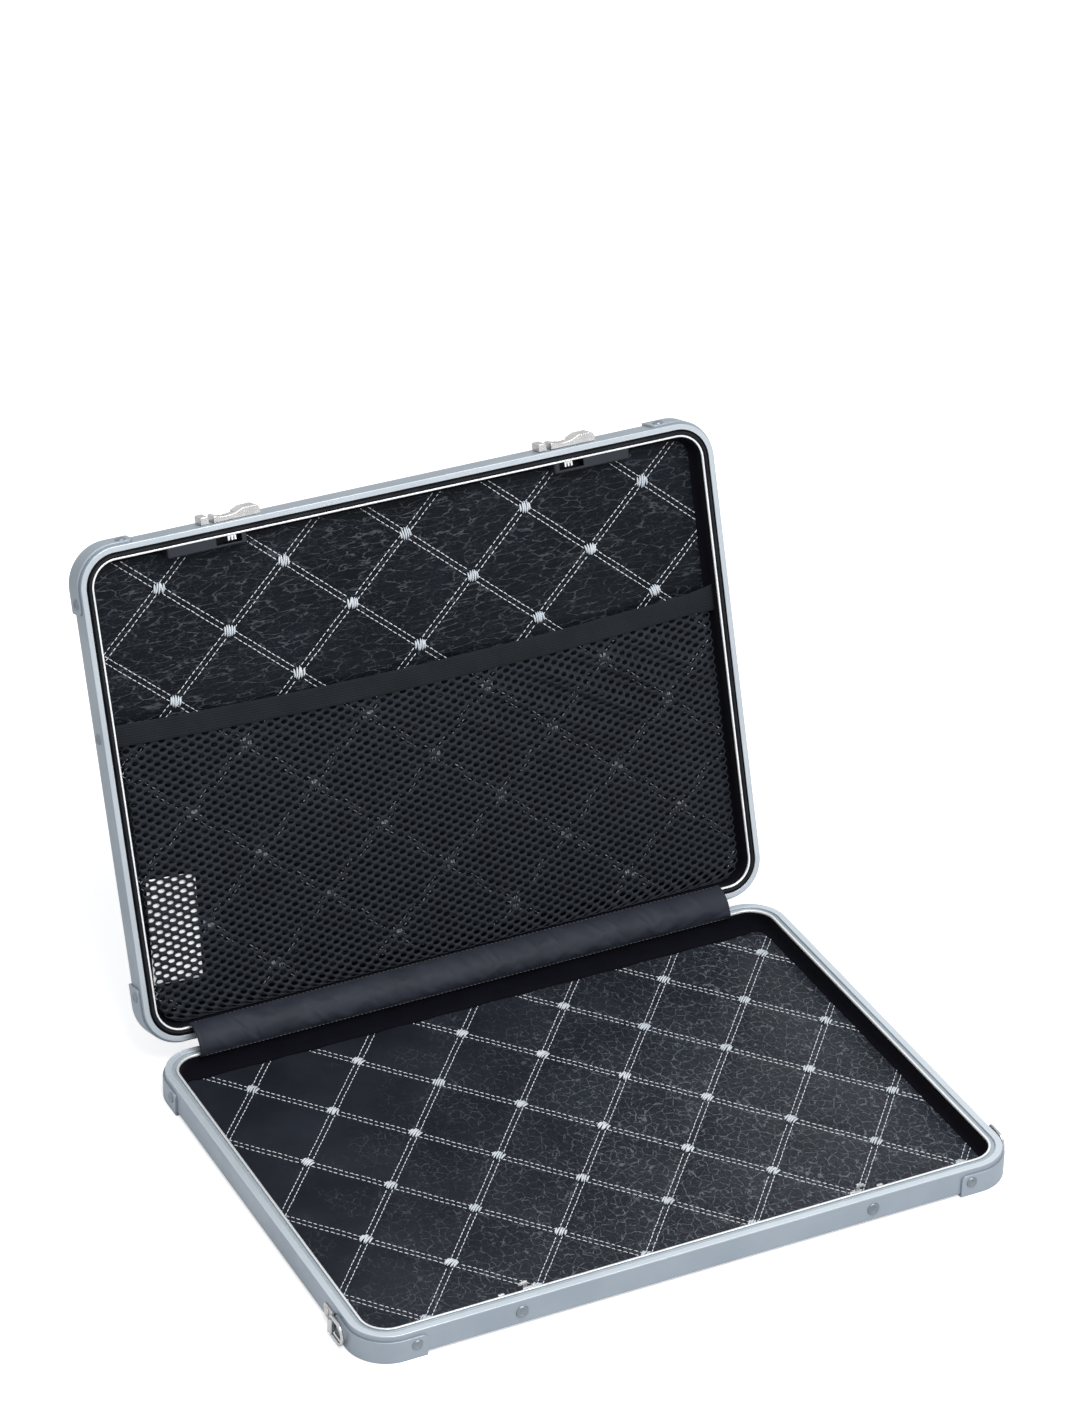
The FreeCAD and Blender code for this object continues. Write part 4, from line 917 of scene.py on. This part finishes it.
def elasticBand():
    # a flat ribbed section carried along the strap's line: down one wall, across with a bow, down the other
    far, high = band["half"], band["high"]
    corners = [(-far, band["low"], 0), (-far, high, band["bend"]), (far, high, band["bend"]), (far, band["low"], 0)]
    line = roundedProfile(corners, 6)
    first, last = line[:8], line[8:]
    across = np.linspace(first[-1][0], last[0][0], 150)[1:-1]
    line = np.concatenate([first, np.stack([across, np.full(len(across), high)], -1), last])
    run, normal = lengthAlong(line), lineNormals(line)
    share = np.linspace(-1, 1, 41)
    ribs = 0.5 * band["thick"] + 0.07 * np.cos(share * np.pi * band["ribs"]) - 0.10 * (np.abs(share) > 0.93)
    loopAcross = np.concatenate([share, share[::-1]])
    loopUp = np.concatenate([ribs, -ribs[::-1]])
    t = line[:, :1] / far
    middle = band["place"] + band["sag"] * (1 - t ** 2)
    y = middle + loopAcross * (band["width"] / 2 + band["gather"] * np.clip((t - 0.88) / 0.12, 0, 1) ** 2)
    wave = 0.5 * softNoise(run, run * 0, 45.0, 3)[:, None]
    wave = wave + 0.35 * np.sin(run[:, None] / 14.0) * np.clip((t - 0.8) / 0.2, 0, 1)
    lift = loopUp + wave * (0.4 + 0.6 * loopAcross ** 2) * (1 - t ** 6)
    points = np.stack([line[:, :1] + normal[:, :1] * lift, y, line[:, 1:] + normal[:, 1:] * lift], -1)
    flat = np.stack(np.broadcast_arrays(run[:, None], loopAcross * band["width"] / 2, 0 * y), -1) / 1000
    piece = addPiece("elasticBand", closedSweep(points), "lid", "ribbedElastic", "lid", "elastic_band", flat)


net = {"half": 183.3, "upper": -31.5, "sag": 5.5, "lower": 131.6, "corner": 13.0, "pitchX": 8.5, "pitchY": 5.0,
       "holeX": 2.2, "holeY": 1.16, "high": 8.35, "thick": 0.45, "ridge": (0.22, -0.12), "uneven": 0.035}


def netFold(x, y):
    # slack in the net: broad waves, with sharper ones running down from the gathered right end of the band
    right = np.exp(-((x - 112) / 72) ** 2 - ((y + 4) / 30) ** 2)
    bend = 6 * softNoise(x, y, 40.0, 12)
    waves = (0.5 + 0.5 * np.sin((0.82 * y - 0.57 * x + bend) / 3.2)) ** 1.4 * right
    slack = 1.1 * softNoise(x, y, 60.0, 9) + 0.5 * softNoise(x, y, 22.0, 10)
    edge = np.clip(np.minimum(net["half"] - np.abs(x), net["lower"] - y) / 14, 0, 1)
    return (slack + 4.0 * waves * np.clip((y + 27) / 12, 0, 1)) * edge


def netPocket():
    # a hexagon round every hole of the staggered lattice, ten points on its border and ten on the hole's oval
    px, py, far, lower = net["pitchX"], net["pitchY"], net["half"], net["lower"]
    reach = (px ** 2 / 4 + py ** 2 / 4) / 2
    topX, sideX = (reach - py ** 2 / 4) / (px / 2), reach / (px / 2)
    midX = (sideX + topX) / 2
    ring = np.array([(sideX, 0), (midX, py / 4), (topX, py / 2), (-topX, py / 2), (-midX, py / 4),
                     (-sideX, 0), (-midX, -py / 4), (-topX, -py / 2), (topX, -py / 2), (midX, -py / 4)])
    angle = np.arctan2(ring[:, 1] / net["holeY"], ring[:, 0] / net["holeX"])
    hole = np.stack([net["holeX"] * np.cos(angle), net["holeY"] * np.sin(angle)], -1)
    rows, cols = int((lower - net["upper"]) / (py / 2)), int(far / px) + 1
    j, i = np.meshgrid(np.arange(rows), np.arange(-cols, cols + 1), indexing="ij")
    centres = np.stack([(i * px + (j % 2) * px / 2).ravel(), (j * py / 2).ravel()], -1)
    centres = centres[np.abs(centres[:, 0]) < far - 1.2][:, None]
    count = len(centres)
    grow = 1 + net["uneven"] * np.random.default_rng(4).standard_normal(count)[:, None, None]
    inner = centres + hole[None] * grow
    keys = np.round((centres + ring[None]).reshape(-1, 2) * 100).astype(int)
    unique, place = np.unique(keys, axis=0, return_inverse=True)
    outer = unique / 100.0
    flat = np.concatenate([outer, inner.reshape(-1, 2)])
    ridge = np.repeat(net["ridge"], [len(outer), count * 10])
    t = flat[:, 0] / far
    upper = net["upper"] + net["sag"] * (1 - t ** 2)
    y = upper + (lower - upper) * np.clip(flat[:, 1] / ((rows - 1) * py / 2), 0, 1)
    over = np.clip(y - (lower - net["corner"]), 0, net["corner"])
    x = t * (far - net["corner"] + np.sqrt(net["corner"] ** 2 - over ** 2))
    points = np.stack([x, y, net["high"] + ridge + netFold(x, y)], -1)
    o = place.reshape(-1, 10)
    n = len(outer) + np.arange(count * 10).reshape(-1, 10)
    quads = np.stack([o, np.roll(o, -1, 1), np.roll(n, -1, 1), n], -1).reshape(-1, 4)
    flat = np.concatenate([flat, 0 * flat[:, :1]], 1) / 1000
    piece = addPiece("netPocket", (points, quads), "lid", "knittedNet", "lid", "mesh_pocket", flat)
    if piece.data.polygons[0].normal.y > 0:
        piece.data.flip_normals()
    skin = piece.modifiers.new("netThickness", "SOLIDIFY")
    skin.thickness, skin.offset = net["thick"] / 1000, 0.0
    return count


label = {"middle": (-165.5, 78.8), "width": 29.0, "length": 60.0, "turn": 4.0, "high": 7.45, "thick": 0.3}


def blankLabel():
    # a thin tag with a slight curl at its ends, turned a few degrees
    rows, cols = 15, 25
    u, v = np.linspace(-1, 1, rows)[:, None], np.linspace(-1, 1, cols)[None]
    x, y = u * label["width"] / 2 + 0 * v, v * label["length"] / 2 + 0 * u
    turn = math.radians(label["turn"])
    px = label["middle"][0] + x * math.cos(turn) - y * math.sin(turn)
    py = label["middle"][1] + x * math.sin(turn) + y * math.cos(turn)
    lift = label["high"] - 0.35 * v ** 6 * (0.5 + 0.5 * u) + 0.05 * np.sin(3 * v + u)
    points = np.stack([np.stack([px, py, lift + level], -1) for level in (0, label["thick"])])
    flat = np.stack([np.stack([x, y, 0 * x], -1) / 1000] * 2)
    count, top = rows * cols, gridQuads(rows, cols)
    rim = rimOf(np.arange(count).reshape(rows, cols))
    side = np.stack([rim, np.roll(rim, -1), np.roll(rim, -1) + count, rim + count], -1)
    shape = points, top[:, ::-1].tolist() + (top + count).tolist() + side.tolist()
    piece = addPiece("blankLabel", shape, "lid", "labelCloth", "lid", "blank_label", flat)


elasticBand()
print("net holes:", netPocket())
blankLabel()

# hinge cover

cover = {"left": -167.5, "right": 163.0, "inside": 132.75, "baseLow": 15.0, "baseHigh": 17.6, "lidInside": 132.7,
         "lidHigh": 13.9, "thick": 0.55, "bow": 0.7, "belly": 2.3, "excess": -0.030, "cap": 1.5, "share": 0.40,
         "creases": 34, "rows": 34, "wall": 0.16, "hem": (0.42, 3.2), "edge": 0.22}


def coverLine(count):
    # across the cover: up the base's inner wall, over to the lid's inner wall in a soft belly, then down that wall
    far, wall = cover["lidInside"], cover["wall"]
    lidEnd = placePoints(np.array([[0, far, 15.6], [0, far, cover["lidHigh"]]]), "lid") * 1000
    lidEnd[:, 1] += middleY
    a, b = np.array([cover["inside"], cover["baseLow"]]), np.array([cover["inside"], cover["baseHigh"]])
    c, e = lidEnd[0, 1:], lidEnd[1, 1:]
    t = np.linspace(0, 1, count)
    handleA, handleB = b + np.array([0, 5.0]), c + (c - e) / np.linalg.norm(c - e) * 4.0
    s = np.clip((t - wall) / 0.68, 0, 1)[:, None]
    curve = (1 - s) ** 3 * b + 3 * (1 - s) ** 2 * s * handleA + 3 * (1 - s) * s ** 2 * handleB + s ** 3 * c
    start, end = np.clip(t / wall, 0, 1)[:, None], np.clip((t - 0.84) / wall, 0, 1)[:, None]
    return np.where(t[:, None] < wall, a + (b - a) * start, np.where(t[:, None] > 0.84, c + (e - c) * end, curve)), t


def fineCreases(x, t):
    # short slanted creases: each a narrow bell across x that leans with t and fades at both its ends
    draw = np.random.default_rng(47)
    lift = 0 * x
    for _ in range(cover["creases"]):
        place, lean = draw.uniform(cover["left"] + 8, cover["right"] - 8), draw.uniform(6, 26)
        wide, middle = draw.uniform(0.9, 1.7), draw.uniform(0.3, 0.7)
        reach, high = draw.uniform(0.14, 0.30), draw.uniform(-0.35, 0.75)
        lift = lift + high * np.exp(-((x - place + lean * (t - middle)) / wide) ** 2 - ((t - middle) / reach) ** 2)
    return lift


def coverSurface(xs, t, line, level, folds=None):
    # the cloth over its line at every x: bow and belly, the settled wrinkles, hems at the ends and long edges
    out = lineNormals(line)
    x = xs[:, None] + 0 * t
    left, right = cover["left"], cover["right"]
    s = (2 * x - left - right) / (right - left)
    bow = cover["bow"] * np.clip((t - 0.55) / 0.45, 0, 1) ** 1.5 * (1 - s ** 2)
    lift = level + cover["belly"] * np.sin(np.pi * t) + bow
    if folds:
        lift = lift + gridValue(x, t, *folds) + fineCreases(x, t)
    if level > 0:
        # the hem thickens the outer face only, so that the inner one clears the lips when the case is shut
        thick, wide = cover["hem"]
        ends = np.clip((wide - np.minimum(x - left, right - x)) / 0.5, 0, 1)
        lift = lift + (thick * ends + cover["edge"] * (np.abs(t - 0.5) > 0.46))
    return np.stack([x, line[:, 0] + out[:, 0] * lift, line[:, 1] + out[:, 1] * lift], -1)


def settleCover(line, t):
    # the strip held along both long edges with a little more cloth than it needs, so it buckles; read back as a height
    xs = np.linspace(cover["left"], cover["right"], 150)
    fold = 0.5 * softNoise(xs[:, None] + 22 * t[None], 25 * t[None] + 0 * xs[:, None], 9.0, 31)
    fold = fold * np.sin(np.pi * t)[None]
    start = coverSurface(xs, t, line, 0.0)
    out = lineNormals(line)
    out = np.concatenate([0 * out[:, :1], out], 1)
    pinned = np.zeros(start.shape[:2], bool)
    pinned[:, :2] = pinned[:, -2:] = True
    begun = (start + fold[..., None] * out[None]).reshape(-1, 3)
    settled = settleCloth(begun, gridQuads(*start.shape[:2]), pinned.ravel(), 0.0, cover["excess"], frames=30)
    moved = ((settled.reshape(start.shape) - start) * out[None]).sum(-1)
    print("settled cover moves", np.percentile(moved, [0, 5, 50, 95, 100]).round(2))
    capped = cover["share"] * cover["cap"] * np.tanh(moved / cover["cap"])
    return xs, t, (capped * np.clip(np.sin(np.pi * t) * 2.5, 0, 1)[None]).T


hemStitch = {"inset": (4, 3), "pitch": 2.6, "length": 1.9, "radius": 0.16, "arch": 0.1, "clear": 0.08}


def hingeCover():
    rows, half = cover["rows"], 0.5 * cover["thick"]
    foot = np.array([0, 0, case["foot"]])  # the surface has true heights, pieces are given the half's own
    line, t = coverLine(rows)
    folds = settleCover(line, t)
    x = np.linspace(cover["left"], cover["right"], 421)
    outer, inner = (coverSurface(x, t, line, level, folds) for level in (half, -half))
    flat = np.stack(np.broadcast_arrays(x[:, None], t[None] * 25.0, 0.0), -1) / 1000
    shape = closedSweep(np.concatenate([outer, inner[:, ::-1]], 1) - foot)
    flat = np.concatenate([flat, flat[:, ::-1]], 1)
    piece = addPiece("hingeCoverCloth", shape, "base", "satinNylon", None, "hinge_cover", flat)
    # a row of light stitches along both long edges
    near, far = hemStitch["inset"]
    places = np.arange(cover["left"] + near, cover["right"] - far, hemStitch["pitch"])
    surface = coverSurface(places, t, line, half + hemStitch["clear"], folds)
    centres, ups = [], []
    for index in (1, rows - 2):
        slope = line[index + 1] - line[index - 1]
        slope = slope / np.linalg.norm(slope)
        centres.append(surface[:, index] - foot)
        ups.append(np.tile([0, -slope[1], slope[0]], (len(places), 1)))
    heads = np.tile([1.0, 0, 0], (2 * len(places), 1))
    sizes = (hemStitch[k] for k in ("length", "radius", "arch"))
    threads = strands(np.concatenate(centres), heads, np.concatenate(ups), *sizes)
    thread = addPiece("coverEdgeStitching", threads, "base", "hemThread", None)
    for bent in (piece, thread):
        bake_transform(bent)


hingeCover()
print("band, net, label and hinge cover made")

# latches

latch = {"low": 3.2, "high": 12.6, "foot": 0.3, "blockLong": 4.6, "blockProud": 4.6, "gap": 3.0, "long": 27.2,
         "edge": 0.55, "starts": {"left": -118.2, "right": 86.2}, "ribs": 4, "rib": 0.42, "rail": 1.5, "sunk": 0.35,
         "blockEdge": 0.9}


def latchSweep(x, proud, edge, sunk):
    # at each x a section across the wall: two rounded outer corners, and between them a field that may be sunk
    turn = np.linspace(0, np.pi / 2, 5)
    proud, sunk = proud[:, None], sunk[:, None]
    radius = np.minimum(edge, proud * 0.45)
    low, high, rail, foot = latch["low"], latch["high"], latch["rail"], 0 * proud + latch["foot"]
    near, far = radius * (1 - np.cos(turn)), radius * (1 - np.sin(turn))
    across = 0 * proud + np.array([low + rail, low + rail + 0.2, high - rail - 0.2, high - rail])
    loop = np.concatenate([np.stack([0 * proud + low, foot], -1), np.stack([low + near, proud - far], -1),
                           np.stack([across, proud - sunk * np.array([0, 1, 1, 0])], -1),
                           np.stack([high - far, proud - near], -1), np.stack([0 * proud + high, foot], -1)], 1)
    return np.stack([np.repeat(x[:, None], loop.shape[1], 1), -caseD - loop[..., 1], loop[..., 0]], -1)


def sliderShape(start):
    # proud along the thumb piece: square heel, shallow saddle with a sunk field, rise, ribbed crest and rounded toe
    steps = [[0, 0.008, 0.02, 0.06, 0.068], np.linspace(0.08, 0.46, 18), [0.468, 0.476],
             np.linspace(0.49, 0.66, 12), np.linspace(0.665, 0.88, 57), np.linspace(0.885, 1.0, 16)]
    share = np.unique(np.round(np.concatenate(steps), 5))
    places = [0, 0.008, 0.02, 0.06, 0.14, 0.26, 0.38, 0.48, 0.56, 0.63, 0.67, 0.70, 0.87, 0.92, 0.955, 0.98, 1.0]
    heights = [3.35, 3.65, 3.8, 3.75, 3.2, 2.9, 3.1, 3.6, 4.45, 5.3, 5.55, 5.6, 5.6, 5.45, 5.05, 4.35, 3.1]
    wave = (share - 0.67) / 0.205
    groove = (0.5 - 0.5 * np.cos(wave * 2 * np.pi * latch["ribs"])) ** 2
    proud = np.interp(share, places, heights) - ((wave > 0) & (wave < 1)) * latch["rib"] * groove
    sunk = latch["sunk"] * np.interp(share, [0.06, 0.068, 0.468, 0.476], [0, 1, 1, 0])
    x = start + latch["blockLong"] + latch["gap"] + share * latch["long"]
    return closedSweep(latchSweep(x, proud, latch["edge"], sunk))


def blockShape(start):
    long, proud = latch["blockLong"], latch["blockProud"]
    turn = np.linspace(0, np.pi / 2, 6)
    ease, drop = latch["blockEdge"] * (1 - np.cos(turn)), latch["blockEdge"] * (1 - np.sin(turn))
    x = np.concatenate([ease, [long / 2], long - ease[::-1]])
    high = np.concatenate([proud - drop, [proud], proud - drop[::-1]])
    return closedSweep(latchSweep(start + x, high, latch["edge"], 0 * x))


prong = {"places": (100.45, 102.3, 104.2), "wide": 1.25, "low": 12.95, "high": 14.35, "reach": 10.9, "back": 7.85,
         "bar": (13.1, 13.9), "barDeep": 1.2, "barPast": 0.6}


def boltProngs(sign):
    # three flat hooks side by side on a thin bar, each a rounded outline in (inset, height) given its width along x
    def across(xs, outlines):
        sides = np.repeat(np.asarray(xs)[:, None], outlines.shape[1], 1)
        return closedSweep(np.stack([sides, outlines[..., 0] - caseD, outlines[..., 1]], -1))

    back, reach, low, high = (prong[k] for k in ("back", "reach", "low", "high"))
    outline = roundedProfile([(back, low, 0.2), (reach, low, 0.5), (reach, high, 0.5), (back, high, 0.2)])
    middle = outline.mean(0)
    rings = middle + (outline - middle)[None] * np.array([0.86, 1.0, 1.0, 0.86])[:, None, None]
    steps = prong["wide"] * np.array([-0.5, -0.38, 0.38, 0.5])
    parts = [across(sign * (place + steps), rings) for place in prong["places"]]
    low, high = prong["bar"]
    deep = back + prong["barDeep"]
    square = np.array([[back, low], [deep, low], [deep, high], [back, high]])
    ends = sign * np.array([prong["places"][0] - prong["barPast"], prong["places"][-1] + prong["barPast"]])
    parts.append(across(ends, np.stack([square, square])))
    return joinParts(parts)


for side, start in latch["starts"].items():
    name, body = side.capitalize(), "latch_" + side
    bolt = boltProngs(-1 if side == "left" else 1)
    for word, shape, material, mover in (("Block", blockShape(start), "satinNickel", "lid"),
                                         ("Slider", sliderShape(start), "satinNickel", body),
                                         ("Bolt", bolt, "brightSteel", body)):
        node = "latch_" + word.lower() + "_" + side
        addPiece("latch" + word + name, shape, "lid", material, mover, node, weighted=True)
    softenedCopy("latchHousing" + name, "latch_housing_" + side, "lid", "mouldedPlastic", 0.3)
    softenedCopy("keeper" + name, "keeper_" + side, "base", "satinNickel", 0.18)
    softenedCopy("ringClip" + name, "ring_clip_" + side, "base", "satinNickel", 0.22)

# strap rings and hinges

ring = {"x": 195.9, "y": -106.5, "high": 6.0, "half": 6.0, "wire": 1.0, "arc": -114.5, "bend": 1.6, "sides": 14}


def strapRing(sign):
    # a round wire carried round a D: straight bar in the barrel, two sides, half-round tip
    y, arc, half = ring["y"], ring["arc"], ring["half"]
    tip = np.radians(np.linspace(90, 270, 25))[1:-1]
    loop = roundedProfile([(arc, -half, 0), (y, -half, ring["bend"]), (y, half, ring["bend"]), (arc, half, 0)], 5)
    loop = np.concatenate([loop, np.stack([arc + half * np.cos(tip), half * np.sin(tip)], -1)])
    heading = np.roll(loop, -1, 0) - np.roll(loop, 1, 0)
    heading /= np.linalg.norm(heading, axis=1)[:, None]
    turn = np.arange(ring["sides"]) / ring["sides"] * 2 * np.pi
    x = sign * ring["x"] + ring["wire"] * np.sin(turn)[None] + 0 * loop[:, :1]
    y = loop[:, :1] - ring["wire"] * np.cos(turn)[None] * heading[:, 1:]
    h = ring["high"] + loop[:, 1:] + ring["wire"] * np.cos(turn)[None] * heading[:, :1]
    return np.stack([x, y, h], -1), gridQuads(len(loop), ring["sides"], True, True)


for side, sign in (("left", -1), ("right", 1)):
    name = "strapRing" + side.capitalize()
    addPiece(name, strapRing(sign), "base", "satinNickel", "ring_" + side, "strap_ring_" + side)
softenedCopy("baseHingeLeaves", "base_hinge_leaves", "base", "satinNickel", 0.2)
softenedCopy("lidHingeLeaves", "lid_hinge_leaves", "lid", "satinNickel", 0.2)
softenedCopy("hingePins", "hinge_pins", "base", "brightSteel", 0.2)
print("latches, rings and hinges made")

# carried-over panels

for node in ("base_panel", "lid_panel"):
    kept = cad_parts[node]
    for slot in kept.material_slots:
        slot.material = bpy.data.materials["satinSheet"]
    if not kept.material_slots:
        kept.data.materials.append(bpy.data.materials["satinSheet"])

# floor, world and lamps

light = {"worldFill": 0.55, "worldSeen": 1.0, "floorGlow": 0.55, "floorHalf": 8}


def addLamp(name, place, target, size, power):
    data = bpy.data.lights.new(name, "AREA")
    data.shape, data.size, data.size_y, data.energy = "RECTANGLE", size[0], size[1], power
    away = np.array(place, float) - np.array(target, float)
    away /= np.linalg.norm(away)
    side = np.cross([0, 0, 1.0], away)
    side /= np.linalg.norm(side)
    placeTurned(name, data, place, (side, np.cross(away, side), away))


def buildStudio():
    # a white world that lights less than it shows, and a floor that glows a little to the camera only
    world = bpy.context.scene.world or bpy.data.worlds.new("studio")
    bpy.context.scene.world = world
    world.use_nodes = True
    tree = world.node_tree
    tree.nodes.clear()
    path = tree.nodes.new("ShaderNodeLightPath").outputs
    seen = mathNode(tree, "MAXIMUM", path["Is Camera Ray"], path["Is Glossy Ray"])
    seen = mathNode(tree, "MAXIMUM", seen, path["Is Transmission Ray"])
    fill, white = (addNode(tree, "ShaderNodeBackground", {"Color": (1, 1, 1, 1), "Strength": light[key]}).outputs[0]
                   for key in ("worldFill", "worldSeen"))
    mix = addNode(tree, "ShaderNodeMixShader", {0: seen, 1: fill, 2: white})
    addNode(tree, "ShaderNodeOutputWorld", {"Surface": mix.outputs[0]})

    mesh, far = bpy.data.meshes.new("studioFloor"), light["floorHalf"]
    mesh.from_pydata([(-far, -far, 0), (far, -far, 0), (far, far, 0), (-far, far, 0)], [], [(0, 1, 2, 3)])
    floor = linkObject("studioFloor", mesh)
    tree, shader = newMaterial("paleFloor", (0.86, 0.86, 0.87), 0.9)
    shader.inputs["Emission Color"].default_value = (1, 1, 1, 1)
    cameraRay = tree.nodes.new("ShaderNodeLightPath").outputs["Is Camera Ray"]
    feed(tree, shader.inputs["Emission Strength"], times(tree, cameraRay, light["floorGlow"]))
    mesh.materials.append(bpy.data.materials["paleFloor"])


buildStudio()
addLamp("keySoft", (0.15, -0.85, 1.7), (0, 0.05, 0.08), (1.3, 1.0), 31.0)
addLamp("edgeGlint", (1.15, -2.5, 0.22), (0, 0.1, 0.12), (0.25, 0.25), 1.5)
bpy.context.scene.view_settings.view_transform = "Standard"
print("studio made")
